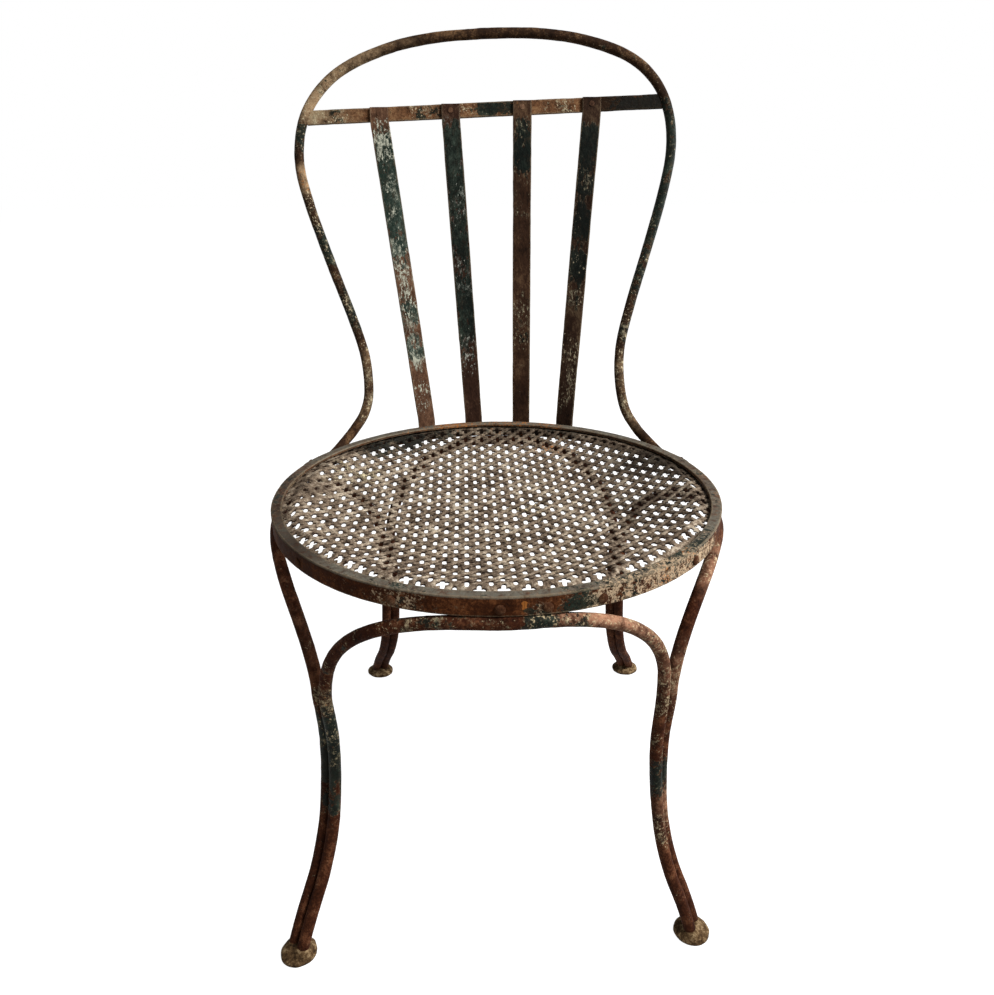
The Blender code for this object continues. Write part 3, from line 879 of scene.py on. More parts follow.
        cover = (graph.amount("paint") + noise.medium * 0.34 + noise.flakes * 0.30
                 + noise.fine * 0.16)
        painted = cover.ease(*self.paint_span)
        primer = cover.ease(*self.primer_span) * (0.1 + noise.specks * 0.9).ease(0.0, 1.0)
        colour = graph.mixed(rust, self.pale, primer * self.primer_share)
        colour = graph.mixed(colour, self.paint(graph, noise, rust), painted)

        crust = (graph.amount("pale") + noise.clusters * 0.26 + noise.chips * 0.40
                 + noise.specks * 0.12 + noise.grain * 0.12)
        scale = crust.ease(*self.scale_span)
        mossy = 0.40 + noise.specks * 0.9 + noise.medium * 0.5
        shade = graph.mixed(self.pale, self.moss, mossy.ease(0.0, 1.0))
        colour = graph.mixed(colour, shade, scale * self.scale_share)
        loose = graph.amount("pale") * 0.95 + noise.chips * 0.34 + noise.specks * 0.28
        flecks = loose.ease(*self.fleck_span)
        colour = graph.mixed(colour, self.pale, flecks * self.scale_share)

        height = (noise.medium * 0.5 + noise.flakes * 0.35 + noise.fine * 0.5 + noise.grain * 0.15
                  + painted * 0.8 + scale * 0.8 + flecks * 0.4 - pits * 0.9)
        normal = graph.node("ShaderNodeBump", {}, {
            "Strength": self.bump, "Distance": self.bump_depth, "Height": height})
        shader = graph.node("ShaderNodeBsdfPrincipled", {}, {
            "Base Color": self.weathered(graph, noise, colour), "Normal": normal,
            "Roughness": 0.80 + noise.fine * 0.08 - painted * 0.24 + scale * 0.05,
            "Specular IOR Level": self.gloss})
        graph.add("ShaderNodeOutputMaterial", {}, {"Surface": shader})
        return material


def slat_iron(name: str, dark: Colour, middle: Colour, light: Colour,
              **colours: Colour) -> IronFinish:
    """Finish of a slat, drawn out along it, its edges rubbed only a little lighter, as wear and as a
    painted highlight.
    """
    return IronFinish(name, dark, middle, light, worn_share=0.35, stretch=2.0, **colours)


class Finish(Enum):
    """The chair's finishes."""

    BAND = IronFinish("band_iron", srgb(20, 6, 2), srgb(62, 32, 15), srgb(132, 82, 48),
                      pale=srgb(174, 150, 122))
    # The seat sheet's dark edge colour paints shade on its hole walls, its underside and its
    # turned-down edge
    SHEET = IronFinish("sheet_iron", srgb(36, 27, 20), srgb(116, 100, 84), srgb(206, 192, 170),
                       paint_dark=srgb(26, 32, 27), paint_light=srgb(96, 102, 88),
                       pale=srgb(204, 190, 156), moss=srgb(128, 120, 78),
                       worn=srgb(36, 23, 15), dust=srgb(158, 142, 122), worn_share=0.9,
                       contrast=1.6, rust_lump=0.007)
    # The hoop's tan dust colour serves as dust and as a painted highlight on the lit side of the rod
    HOOP = IronFinish("hoop_iron", srgb(18, 10, 6), srgb(46, 30, 19), srgb(122, 92, 63),
                      dust=srgb(152, 126, 96))
    RAIL = IronFinish("rail_iron", srgb(30, 16, 9), srgb(104, 71, 47), srgb(162, 130, 92),
                      dust=srgb(160, 142, 112))
    FIRST_SLAT = slat_iron("first_slat_iron", srgb(40, 25, 17), srgb(88, 62, 46),
                           srgb(146, 114, 88), paint_dark=srgb(26, 38, 32),
                           paint_light=srgb(92, 104, 94), pale=srgb(176, 176, 158),
                           moss=srgb(104, 110, 98))
    SECOND_SLAT = slat_iron("second_slat_iron", srgb(24, 13, 8), srgb(50, 32, 23),
                            srgb(102, 80, 62), paint_dark=srgb(8, 14, 11),
                            paint_light=srgb(58, 68, 59), pale=srgb(156, 156, 146),
                            moss=srgb(84, 90, 82))
    THIRD_SLAT = slat_iron("third_slat_iron", srgb(22, 12, 7), srgb(52, 34, 23),
                           srgb(104, 80, 58), paint_dark=srgb(4, 8, 6),
                           paint_light=srgb(32, 40, 34), pale=srgb(156, 146, 120),
                           moss=srgb(78, 84, 68))
    FOURTH_SLAT = slat_iron("fourth_slat_iron", srgb(18, 10, 6), srgb(45, 30, 21),
                            srgb(96, 78, 58), paint_dark=srgb(5, 8, 6),
                            paint_light=srgb(36, 40, 34), pale=srgb(150, 138, 114),
                            moss=srgb(80, 84, 70))
    # The legs' pinkish-tan dust colour serves as dust and as a painted highlight on the arches' lit
    # tops and sides
    LEG = IronFinish("leg_iron", srgb(16, 4, 1), srgb(56, 28, 15), srgb(124, 80, 54),
                     pale=srgb(184, 164, 130), dust=srgb(166, 122, 96))
    FOOT = IronFinish("foot_iron", srgb(20, 11, 5), srgb(84, 64, 42), srgb(176, 152, 116),
                      contrast=1.5, rust_lump=0.006)
    RIVET = IronFinish("rivet_iron", srgb(24, 10, 5), srgb(70, 42, 26), srgb(134, 104, 78))


class Slot(Enum):
    """The record's material slots."""

    BAND = "band_rust"
    SPLICE = "dark_rust"
    SHEET = "sheet_rust"
    HOOP = "hoop_rust"
    RAIL = "rail_rust"
    SLAT = "slat_paint"
    LEG = "leg_rust"
    FOOT = "foot_rust"
    RIVET = "rivet_rust"


class Workshop:
    """Makes objects of surfaces, dresses them and puts them on the part's body."""

    def __init__(self) -> None:
        """Build the materials once."""
        self.materials = {finish: finish.value.make() for finish in Finish}

    def place(self, name: str, surface: Surface, finish: Finish, slot: Slot, coat: Coat,
              replaced: Sequence[str], sharp: float = 50.0) -> None:
        """Make a piece of a surface.

        Args:
            name: The piece's name.
            surface: Its shell, round the seat ring's centre.
            finish: What it is dressed in.
            slot: The record's slot that its finish belongs to; not used.
            coat: What covers it.
            replaced: The part's nodes that it stands for.
            sharp: Angle in degrees past which an edge between faces is sharp.
        """
        points = surface.points + CENTRE
        corners = np.concatenate([surface.faces.ravel(), surface.triangles.ravel()])
        sizes = np.concatenate([np.full(len(surface.faces), 4), np.full(len(surface.triangles), 3)])
        mesh = bpy.data.meshes.new(name)
        mesh.vertices.add(len(points))
        mesh.vertices.foreach_set("co", points.astype(np.float32).ravel())
        mesh.loops.add(len(corners))
        mesh.loops.foreach_set("vertex_index", corners.astype(np.int32))
        mesh.polygons.add(len(sizes))
        mesh.polygons.foreach_set("loop_start", (np.cumsum(sizes) - sizes).astype(np.int32))
        mesh.update(calc_edges=True)
        mesh.validate()
        amounts = {**coat.amounts(points), "edge": surface.edge}
        for key, values in amounts.items():
            attribute = mesh.attributes.new(key, "FLOAT", "POINT")
            attribute.data.foreach_set("value", values.astype(np.float32))
        mesh.shade_smooth()
        mesh.set_sharp_from_angle(angle=radians(sharp))
        mesh.materials.append(self.materials[finish])
        piece = bpy.data.objects.new(name, mesh)
        bpy.context.scene.collection.objects.link(piece)
        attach(piece, BODY)
        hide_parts(*replaced)
        LOG.info("%s: %d points, %d faces", name, len(points), len(sizes))


# Seat

@dataclass
class SeatRing:
    """The rim and band, one bent strip that meets itself at a butt joint in front."""

    rim_width: float = 0.0102
    rim_thickness: float = 0.0035
    corner: float = 0.0011
    butt_gap: float = 0.0002
    relief: Relief = Relief(waves=0.00016, lumps=0.00014, seed=11)
    coat: Coat = Coat(paint=0.15, pale=0.18, warm=0.08, stains=(
        Stain((0.065, -0.243, 0.394), 0.020, paint=0.55, pale=0.05),
        Stain((0.036, -0.249, 0.392), 0.015, paint=0.45, pale=0.30, warm=0.12),
        Stain((0.096, -0.232, 0.399), 0.030, paint=0.30, pale=0.56, warm=0.14),
        Stain((0.130, -0.212, 0.399), 0.034, paint=0.30, pale=0.50, warm=0.22),
        Stain((0.160, -0.185, 0.399), 0.034, paint=0.34, pale=0.48, warm=0.20),
        Stain((0.186, -0.150, 0.399), 0.034, paint=0.28, pale=0.38, warm=0.14),
        Stain((-0.075, -0.236, 0.399), 0.036, paint=0.24, pale=0.34),
        Stain((-0.120, -0.212, 0.399), 0.030, paint=0.10, pale=0.12),
        Stain((-0.190, -0.140, 0.398), 0.090, pale=-0.04, grime=0.26),
        Stain((0.0, 0.190, 0.405), 0.200, warm=0.34, dust=-0.02),
        Stain((0.024, -0.2495, 0.401), 0.0034, warm=0.80),
        Stain((0.024, -0.2495, 0.397), 0.0030, warm=0.70),
        Stain((-0.215, -0.040, 0.408), 0.110, dust=-0.34, pale=0.30, paint=0.20, grime=0.26),
        Stain((0.215, -0.020, 0.408), 0.110, dust=-0.20, pale=0.20, paint=0.14, warm=0.10),
        Stain((-0.160, -0.165, 0.408), 0.050, dust=-0.20, grime=0.20),
    ), layers=(Layer(0.4058, 0.4100, paint=0.10, pale=-0.18, dust=0.74),), most_pale=0.56)

    def section(self) -> Section:
        """Profile of the strip as (distance from the axis, depth below the seat height)."""
        inner = -BAND_THICKNESS
        return Section.rounded([
            (0.0, 0.0), (-self.rim_width, 0.0), (-self.rim_width, self.rim_thickness),
            (inner, self.rim_thickness), (inner, BAND_HEIGHT), (0.0, BAND_HEIGHT)], self.corner)

    def build(self, workshop: Workshop) -> None:
        """Carry the profile round the ring, from one side of the butt joint to the other.

        Args:
            workshop: Where the piece is made.
        """
        gap = self.butt_gap / RING_RADIUS
        count = int(2 * pi * RING_RADIUS / STEP)
        angles = np.linspace(BUTT_ANGLE + gap / 2, BUTT_ANGLE + 2 * pi - gap / 2, count)
        path = ring_points(angles, RING_RADIUS, SEAT_HEIGHT)
        shell = swept(path, outward_in_plan(path), self.section(), self.relief)
        workshop.place("seat_ring_worn", shell, Finish.BAND, Slot.BAND, self.coat, ["seat_ring"])


@dataclass
class SplicePlate:
    """The curved plate behind the butt joint."""

    length: float = 0.0600
    thickness: float = 0.0030
    height: float = 0.0062
    corner: float = 0.0006
    outer_radius: float = 0.2138
    rings: int = 41
    relief: Relief = Relief(waves=0.0001, seed=21)
    coat: Coat = Coat(grime=0.2)

    def build(self, workshop: Workshop) -> None:
        """Carry a flat bar's section along an arc behind the band.

        Args:
            workshop: Where the piece is made.
        """
        middle = self.outer_radius - self.thickness / 2
        half = self.length / 2 / middle
        angles = np.linspace(BUTT_ANGLE - half, BUTT_ANGLE + half, self.rings)
        path = ring_points(angles, middle, SEAT_HEIGHT - RIVET_DROP)
        section = flat_bar(self.thickness, self.height, self.corner)
        shell = swept(path, outward_in_plan(path), section, self.relief)
        workshop.place("splice_plate_worn", shell, Finish.BAND, Slot.SPLICE, self.coat,
                       ["splice_plate"])


@dataclass
class SeatSheet:
    """The dished sheet, punched with four-petalled holes in a slanting lattice."""

    depth: float = 0.0218
    crest_radius: float = 0.1968
    crest_drop: float = 0.0011
    shoulder_drop: float = 0.0046
    square_share: float = 0.49
    thickness: float = 0.0019
    edge_thickness: float = 0.0012
    edge_depth: float = 0.0150
    limit: float = 0.2150
    pitch: float = 0.0192
    turn: float = 0.036
    shift: tuple[float, float] = (0.0086, -0.0193)
    petal_radius: float = 0.00205
    petal_across: float = 0.0034
    petal_along: float = 0.0039
    samples: int = 24
    bevel: float = 0.0008
    bevel_drop: float = 0.0006
    ridge: float = 0.0006
    bridge: float = 0.0009
    least_ridge: float = 0.00036
    uneven: float = 0.05
    uneven_seed: int = 5
    ragged: float = 0.00028
    ragged_size: float = 0.0040
    ragged_seed: int = 41
    skirt_lap: float = 0.0004
    skirt_corner: float = 0.0003
    skirt_segments: int = 480

    # How much painted shade the five rings of a cell carry, from the ridge to the hole's lower edge,
    # and how much the turned-down edge carries
    painted_shade: tuple[float, ...] = (-0.5, 0.2, 1.0, 1.3, 1.0)
    skirt_painted_shade: float = 1.6

    # Places x, y in the part's frame where holes are torn or clogged, reach and change
    openings: tuple[tuple[float, float, float, float], ...] = (
        (0.030, -0.039, 0.011, 0.45), (0.041, -0.026, 0.011, 0.40),
        (-0.190, -0.016, 0.044, -0.38), (0.205, 0.040, 0.022, -0.25),
        (-0.160, 0.050, 0.060, -0.08), (-0.050, 0.190, 0.080, 0.08),
        (0.060, 0.190, 0.080, 0.08), (0.180, 0.080, 0.070, -0.10),
        (0.165, -0.060, 0.060, 0.10))

    # Parts of a metre to which plan points are rounded, points are welded and holes numbered
    snap: float = 1e7
    weld: float = 5e5
    number: float = 1e4

    relief: Relief = Relief(waves=0.00035, wave_size=0.05, lumps=0.00022, lump_size=0.012,
                            grain=0.00012, grain_size=0.004, proud=0.001, seed=31)
    skirt_relief: Relief = Relief(waves=0.00008, lumps=0.00006)
    # The grime over the rear rows is partly grime and partly painted shade
    coat: Coat = Coat(paint=0.08, pale=0.22, warm=0.12, stains=(
        Stain((-0.116, 0.118, 0.40), 0.050, paint=0.38, pale=-0.05, grime=0.44),
        Stain((-0.148, 0.096, 0.40), 0.036, paint=0.28, grime=0.34),
        Stain((-0.148, 0.034, 0.40), 0.046, pale=0.24, paint=0.06),
        Stain((-0.192, -0.020, 0.40), 0.046, paint=0.22, warm=0.10, grime=0.24),
        Stain((-0.020, 0.150, 0.40), 0.060, pale=0.04, warm=0.16, paint=0.18, grime=0.16),
        Stain((0.060, 0.155, 0.40), 0.080, pale=-0.04, warm=0.10, paint=0.18, grime=0.22),
        Stain((0.070, 0.110, 0.40), 0.040, warm=0.20),
        Stain((-0.082, 0.160, 0.40), 0.060, paint=0.30, grime=0.46),
        Stain((0.010, 0.200, 0.40), 0.060, paint=0.10, grime=0.40),
        Stain((0.090, 0.180, 0.40), 0.060, paint=0.20, grime=0.48),
        Stain((0.150, 0.090, 0.40), 0.080, paint=0.24, pale=-0.06, grime=0.44),
        Stain((0.200, 0.035, 0.40), 0.070, paint=0.20, pale=-0.08, grime=0.58),
        Stain((0.160, -0.065, 0.40), 0.070, pale=-0.06, grime=0.46),
        Stain((0.110, 0.000, 0.40), 0.060, grime=0.26),
        Stain((0.036, -0.034, 0.39), 0.030, pale=0.20, warm=0.06),
        Stain((-0.080, -0.120, 0.40), 0.060, pale=0.08, warm=0.10),
        Stain((0.050, -0.170, 0.40), 0.070, pale=0.06, warm=0.12),
    ))

    def height(self, radius: Array) -> Array:
        """Height of the sheet's face at a distance from the axis.

        Inside the crest it is a mix of the square and the fourth power of the
        distance's share of the crest radius; outside it falls as a quarter of a sine.

        Args:
            radius: Distances from the axis.

        Returns:
            Heights.
        """
        share = np.minimum(radius / self.crest_radius, 1.0)
        curve = self.square_share * share**2 + (1 - self.square_share) * share**4
        dish = SEAT_HEIGHT - self.depth + (self.depth - self.crest_drop) * curve
        beyond = np.clip((radius - self.crest_radius) / (SHEET_EDGE_RADIUS - self.crest_radius),
                         0.0, 1.0)
        return dish - self.shoulder_drop * np.sin(beyond * pi / 2)

    def cells(self) -> Array:
        """Lay out the lattice's cells, out to one pitch past the sheet's edge.

        Returns:
            Middles of the cells.
        """
        reach = int(2 * self.limit / self.pitch) + 4
        i, j = np.meshgrid(np.arange(-reach, reach + 1), np.arange(-reach, reach + 1),
                           indexing="ij")
        chosen = (i + j) % 2 == 0
        x, y = i[chosen] * self.pitch / 2, -j[chosen] * self.pitch / 2
        c, s = cos(self.turn), sin(self.turn)
        middles = np.stack([c * x - s * y + self.shift[0], s * x + c * y + self.shift[1]], axis=1)
        return middles[np.hypot(*middles.T) < self.limit + self.pitch]

    def hole_scale(self, middles: Array) -> Array:
        """How far each hole is open, with some torn and some clogged.

        Args:
            middles: Middles of the cells.

        Returns:
            Scale of each hole.
        """
        numbers = np.rint(middles[:, [0, 1, 1]] * self.number).astype(np.int64)
        scale = 1.0 + self.uneven * hashed(numbers, self.uneven_seed)
        world = middles + CENTRE[:2]
        for x, y, reach, change in self.openings:
            distance = np.hypot(world[:, 0] - x, world[:, 1] - y)
            scale += change * (1.0 - smooth(distance, reach / 2, reach))
        return scale

    def rings(self, middles: Array) -> Array:
        """Plan of each cell as five rings of points.

        The first and last ring are the cell's slanting square, whose distance from
        its middle at an angle is half the pitch over the sum of the sizes of the
        sine and the cosine. The others follow the hole: four circles set along the
        axes, wider for the ring where the slope down to its edge begins.

        Args:
            middles: Middles of the cells.

        Returns:
            Points as rings, cells, samples and two coordinates.
        """
        angle = 2 * pi * np.arange(self.samples) / self.samples
        square = self.pitch / 2 / (np.abs(np.cos(angle)) + np.abs(np.sin(angle)))
        off = (angle + pi / 4) % (pi / 2) - pi / 4
        sideways = np.abs(np.cos(angle)) > np.abs(np.sin(angle))
        d, r = np.where(sideways, self.petal_across, self.petal_along), self.petal_radius
        petals = d * np.cos(off) + np.sqrt(np.maximum(r * r - (d * np.sin(off))**2, 0.0))
        direction = np.stack([np.cos(angle + self.turn), np.sin(angle + self.turn)], axis=1)
        places = middles[:, None] + direction * petals[:, None]
        spots = np.concatenate([places, np.zeros((*places.shape[:2], 1))], axis=2)
        hole = (petals * self.hole_scale(middles)[:, None]
                + self.ragged * value_noise(spots, self.ragged_size, self.ragged_seed))
        hole = np.minimum(hole, square - self.bridge)
        wider = np.minimum(hole + self.bevel, square - self.least_ridge)
        square = np.broadcast_to(square, hole.shape)
        radii = np.stack([square, wider, hole, hole, square])
        return middles[None, :, None] + direction * radii[..., None]

    def lifted(self, plan: Array) -> Array:
        """Give the rings their heights: the sheet's face, its relief and each ring's lift.

        Args:
            plan: Points as rings, cells, samples and two coordinates.

        Returns:
            The same points with three coordinates.
        """
        spots = np.concatenate([plan, np.zeros((*plan.shape[:3], 1))], axis=3)
        face = self.height(np.hypot(plan[..., 0], plan[..., 1])) + self.relief.at(spots)
        lift = np.array([self.ridge, 0.0, -self.bevel_drop, -self.thickness, -self.thickness])
        return np.concatenate([plan, (face + lift[:, None, None])[..., None]], axis=3)

    @staticmethod
    def rim_walls(welded: Array, faces: Array, on_rim: Array) -> Array:
        """Wall up the open rim between the sheet's upper and lower face.

        Every open edge between two upper points on the rim gets a face down to the
        points below them.

        Args:
            welded: Number of the point at each ring, cell and sample.
            faces: The faces between the rings.
            on_rim: Whether each point is on the rim.

        Returns:
            The walls' faces. Where one's last two points are the same, it is a triangle.
        """
        count = len(on_rim)
        below = np.zeros(count, int)
        for layer, partner in ((0, 4), (1, 3), (2, 3)):
            below[welded[layer].ravel()] = welded[partner].ravel()
        upper = np.zeros(count, bool)
        upper[welded[:3].ravel()] = True
        start, end = faces.ravel(), np.roll(faces, -1, axis=1).ravel()
        open_edge = ~np.isin(start * count + end, end * count + start)
        chosen = open_edge & upper[start] & upper[end] & on_rim[start] & on_rim[end]
        a, b = start[chosen], end[chosen]
        return np.stack([b, a, below[a], below[b]], axis=1)

    def shell(self) -> Surface:
        """Join the rings of all cells by faces, cut off at the sheet's round edge.

        Points past the edge are brought back on to it, faces that then lie wholly on
        the edge are dropped, and the open rim that this leaves is walled up.

        Returns:
            The punched face.
        """
        plan = self.rings(self.cells())
        layers, cells, samples, _ = plan.shape
        distance = np.hypot(plan[..., 0], plan[..., 1])
        over = distance > self.limit
        drawn_in = plan * (self.limit / np.maximum(distance, 1e-9))[..., None]
        plan = np.rint(np.where(over[..., None], drawn_in, plan) * self.snap) / self.snap
        points = self.lifted(plan).reshape(-1, 3)

        keys = np.rint(points * self.weld).astype(np.int64)
        _, kept, welded = np.unique(keys, axis=0, return_index=True, return_inverse=True)
        welded = welded.reshape(layers, cells, samples)
        following = np.roll(welded, -1, axis=2)
        faces = np.stack([welded[:-1], following[:-1], following[1:], welded[1:]], axis=-1)
        faces = faces.reshape(-1, 4)
        on_rim = over.reshape(-1)[kept]
        faces = faces[~on_rim[faces].all(axis=1)]
        faces = faces[(np.diff(np.sort(faces, axis=1), axis=1) > 0).all(axis=1)]

        walls = self.rim_walls(welded, faces, on_rim)
        flat = walls[:, 2] == walls[:, 3]
        # Painted shade of each point, by its ring: hole walls and underside dark, ridge clear
        edge = np.repeat(self.painted_shade, cells * samples)
        return Surface(points[kept], np.concatenate([faces, walls[~flat]]), walls[flat][:, :3],
                       edge[kept])

    def skirt(self) -> Surface:
        """Turn the sheet's edge down inside the band.

        Returns:
            The turned-down edge.
        """
        top = float(self.height(np.array(SHEET_EDGE_RADIUS))) + self.skirt_lap
        bottom = SEAT_HEIGHT - self.edge_depth
        angles = 2 * pi * np.arange(self.skirt_segments) / self.skirt_segments
        radius = SHEET_EDGE_RADIUS - self.edge_thickness / 2
        path = ring_points(angles, radius, (top + bottom) / 2)
        section = flat_bar(self.edge_thickness, top - bottom, self.skirt_corner)
        wall = swept(path, outward_in_plan(path), section, self.skirt_relief, loop=True)
        # The turned-down edge is painted dark all over as shade
        wall.edge = np.full(len(wall.points), self.skirt_painted_shade)
        return wall

    def build(self, workshop: Workshop) -> None:
        """Put the punched face and the turned-down edge together."""
        shell = joined([self.shell(), self.skirt()])
        workshop.place("seat_sheet_punched", shell, Finish.SHEET, Slot.SHEET, self.coat,
                       ["seat_sheet"], sharp=60.0)


# Back

@dataclass
class Back:
    """The rod hoop, the flat rail across it and four slats from the band to the rail."""

    # How far the hoop stands out on the left and on the right, its setback, and its height above
    # the rim, from the band up to the top
    outline: tuple[tuple[float, float, float, float], ...] = (
        (0.1760, 0.1745, 0.1440, 0.0020),
        (0.1660, 0.1640, 0.1550, 0.0130),
        (0.1553, 0.1530, 0.1665, 0.0300),
        (0.1492, 0.1487, 0.1800, 0.0560),
        (0.1510, 0.1510, 0.1930, 0.0950),
        (0.1640, 0.1640, 0.2080, 0.1400),
        (0.1850, 0.1850, 0.2265, 0.2000),
        (0.2050, 0.2055, 0.2440, 0.2640),
        (0.2132, 0.2145, 0.2550, 0.3100),
        (0.2060, 0.2100, 0.2640, 0.3510),
        (0.1845, 0.1925, 0.2700, 0.3830),
        (0.1510, 0.1610, 0.2730, 0.4065),
        (0.1000, 0.1095, 0.2755, 0.4238),
        (0.0500, 0.0570, 0.2765, 0.4315),
        (-0.0030, 0.0030, 0.2770, 0.4334),
    )
    end_angle: float = radians(71.0)
    lift_angle: float = radians(57.0)
    end_drop: float = 0.0100
    lean: float = radians(2.1)
    lean_start: float = 0.0100
    lean_full: float = 0.0700
    rail_height: float = 0.3562
    rail_depth: float = 0.0154
    rail_thickness: float = 0.0040
    rail_points: int = 30
    slat_width: float = 0.0212
    slat_thickness: float = 0.0030
    slat_tops: tuple[float, ...] = (-0.1173, -0.0358, 0.0455, 0.1242)
    slat_feet: tuple[float, ...] = (-0.0852, -0.0280, 0.0312, 0.0842)
    slat_foot_drop: float = 0.0160
    slat_leaves_band: float = 0.0060
    slat_top_share: float = 0.9
    slat_smoothings: int = 12
    rail_corner: float = 0.0010
    slat_corner: float = 0.0009

    # Shares of the rod's radius: how far the rail stops short, and how long an end's rounding is
    rail_stop: float = 0.6
    end_rounding: float = 3.0

    # How much thinner the rod is made, so that its waves stay inside the part's rod
    skin_room: float = 0.00042
    # The dust of these stains, on the hoop's left side, its top and its lower right, is partly a
    # painted highlight on the lit side of the rod
    hoop_coat: Coat = Coat(paint=0.14, pale=0.17, warm=0.06, stains=(
        Stain((-0.030, 0.241, 0.840), 0.050, pale=0.04, paint=-0.05, dust=0.10),
        Stain((0.100, 0.242, 0.835), 0.080, pale=-0.10, grime=0.16, paint=0.16),
        Stain((-0.100, 0.240, 0.827), 0.050, pale=0.08, paint=0.10, dust=0.22),
        Stain((-0.150, 0.238, 0.812), 0.040, pale=0.16, dust=0.52, paint=0.12),
        Stain((-0.190, 0.236, 0.785), 0.034, pale=0.24, paint=0.16, dust=0.60),
        Stain((-0.208, 0.233, 0.765), 0.024, pale=0.38, paint=0.10, dust=0.55),
        Stain((-0.218, 0.226, 0.735), 0.028, pale=0.22, paint=0.38, dust=-0.10),
        Stain((-0.213, 0.216, 0.692), 0.026, pale=0.16, warm=0.28, dust=0.66),
        Stain((-0.208, 0.208, 0.660), 0.030, pale=0.34, paint=0.22, warm=0.16),
        Stain((-0.193, 0.196, 0.615), 0.040, pale=0.22, paint=0.44),
        Stain((-0.168, 0.176, 0.550), 0.044, pale=0.24, paint=0.42),
        Stain((-0.150, 0.156, 0.490), 0.034, pale=0.36, dust=0.30, warm=0.16),
        Stain((-0.152, 0.134, 0.445), 0.030, pale=0.32, dust=0.30, warm=0.16),
        Stain((0.180, 0.234, 0.785), 0.050, paint=0.20, pale=-0.04, grime=0.20),
        Stain((0.203, 0.224, 0.740), 0.040, paint=0.50, pale=0.12, grime=0.16),
        Stain((0.202, 0.214, 0.690), 0.045, paint=0.50, pale=0.14, grime=0.10),
        Stain((0.186, 0.199, 0.640), 0.040, paint=0.44, pale=0.16, grime=0.10),
        Stain((0.168, 0.184, 0.586), 0.040, paint=0.44, pale=0.18),
        Stain((0.153, 0.166, 0.530), 0.036, paint=0.36, pale=0.24),
        Stain((0.150, 0.148, 0.480), 0.034, pale=0.44, dust=0.30),
        Stain((0.156, 0.134, 0.445), 0.026, pale=0.36, paint=0.10),
        Stain((0.168, 0.124, 0.425), 0.020, dust=0.30),
    ))
    rail_coat: Coat = Coat(paint=0.22, pale=0.20, warm=0.06, grime=0.04, stains=(
        Stain((-0.200, 0.234, 0.759), 0.018, pale=0.30, dust=0.66),
        Stain((-0.176, 0.234, 0.759), 0.015, paint=0.26, pale=0.56, dust=0.36),
        Stain((-0.155, 0.234, 0.760), 0.020, warm=0.10, dust=0.20),
        Stain((-0.108, 0.234, 0.760), 0.016, pale=-0.04, dust=0.14),
        Stain((-0.080, 0.234, 0.761), 0.018, pale=0.44, paint=0.30),
        Stain((-0.058, 0.234, 0.762), 0.012, paint=0.30, grime=0.16),
        Stain((-0.030, 0.234, 0.763), 0.014, pale=0.44, paint=0.12),
        Stain((-0.004, 0.234, 0.766), 0.018, paint=0.66, pale=0.02),
        Stain((0.018, 0.234, 0.767), 0.014, paint=0.42, grime=0.20),
        Stain((0.060, 0.234, 0.768), 0.016, grime=0.14, pale=0.14),
        Stain((0.085, 0.234, 0.768), 0.018, pale=0.28, paint=0.14),
        Stain((0.122, 0.234, 0.769), 0.026, grime=0.72),
        Stain((0.160, 0.234, 0.772), 0.042, paint=0.40, grime=0.66, pale=-0.04),
        Stain((0.195, 0.234, 0.773), 0.030, paint=0.24, grime=0.50, pale=0.06),
    ))

    def leaned(self, points: Array) -> Array:
        """Lean points of the back to the left, from nothing at the rim to the full angle.

        Args:
            points: Points of the upright back.

        Returns:
            Points of the leaning back.
        """
        height = points[..., 2] - SEAT_HEIGHT
        slope = sin(self.lean) * smooth(height, self.lean_start, self.lean_full)
        moved = points.copy()
        moved[..., 0] = points[..., 0] - slope * height
        moved[..., 2] = points[..., 2] + slope * points[..., 0]
        return moved

    def side(self, sign: int) -> Array:
        """Run one side of the hoop, before it leans, from its end on the band to its top.

        Args:
            sign: -1 for the left side, 1 for the right one.

        Returns:
            The side's centre line.
        """
        angles = sign * (pi - np.linspace(self.end_angle, self.lift_angle, 4))
        low = ring_points(angles, RING_RADIUS + CLEARANCE + ROD_RADIUS, SEAT_HEIGHT - self.end_drop)
        left, right, setback, height = np.array(self.outline).T
        across = -left if sign < 0 else right
        high = np.stack([across, setback, SEAT_HEIGHT + height], axis=1)
        return curve_through(np.concatenate([low, high]))

    def at(self, sign: int, height: float) -> Array:
        """Find one side of the hoop at a height above the rim.

        Args:
            sign: -1 for the left side, 1 for the right one.
            height: Height above the rim.

        Returns:
            The place there, and the direction upwards for each metre of height.
        """
        curve = self.side(sign)
        after = int(np.argmax(curve[:, 2] > SEAT_HEIGHT + height))
        low, high = curve[after - 1], curve[after]
        share = (SEAT_HEIGHT + height - low[2]) / (high[2] - low[2])
        return np.stack([low + (high - low) * share, (high - low) / (high[2] - low[2])])

    def rising(self) -> Array:
        """Find the direction up the back at the rail.

        Returns:
            The unit direction.
        """
        low = self.at(1, self.rail_height - self.rail_depth)[0, 1]
        high = self.at(1, self.rail_height + self.rail_depth)[0, 1]
        return unit(np.array([0.0, high - low, 2 * self.rail_depth]))

    def facing(self) -> Array:
        """Unit direction that the rail's front looks in."""
        rising = self.rising()
        return np.array([0.0, -rising[2], rising[1]])

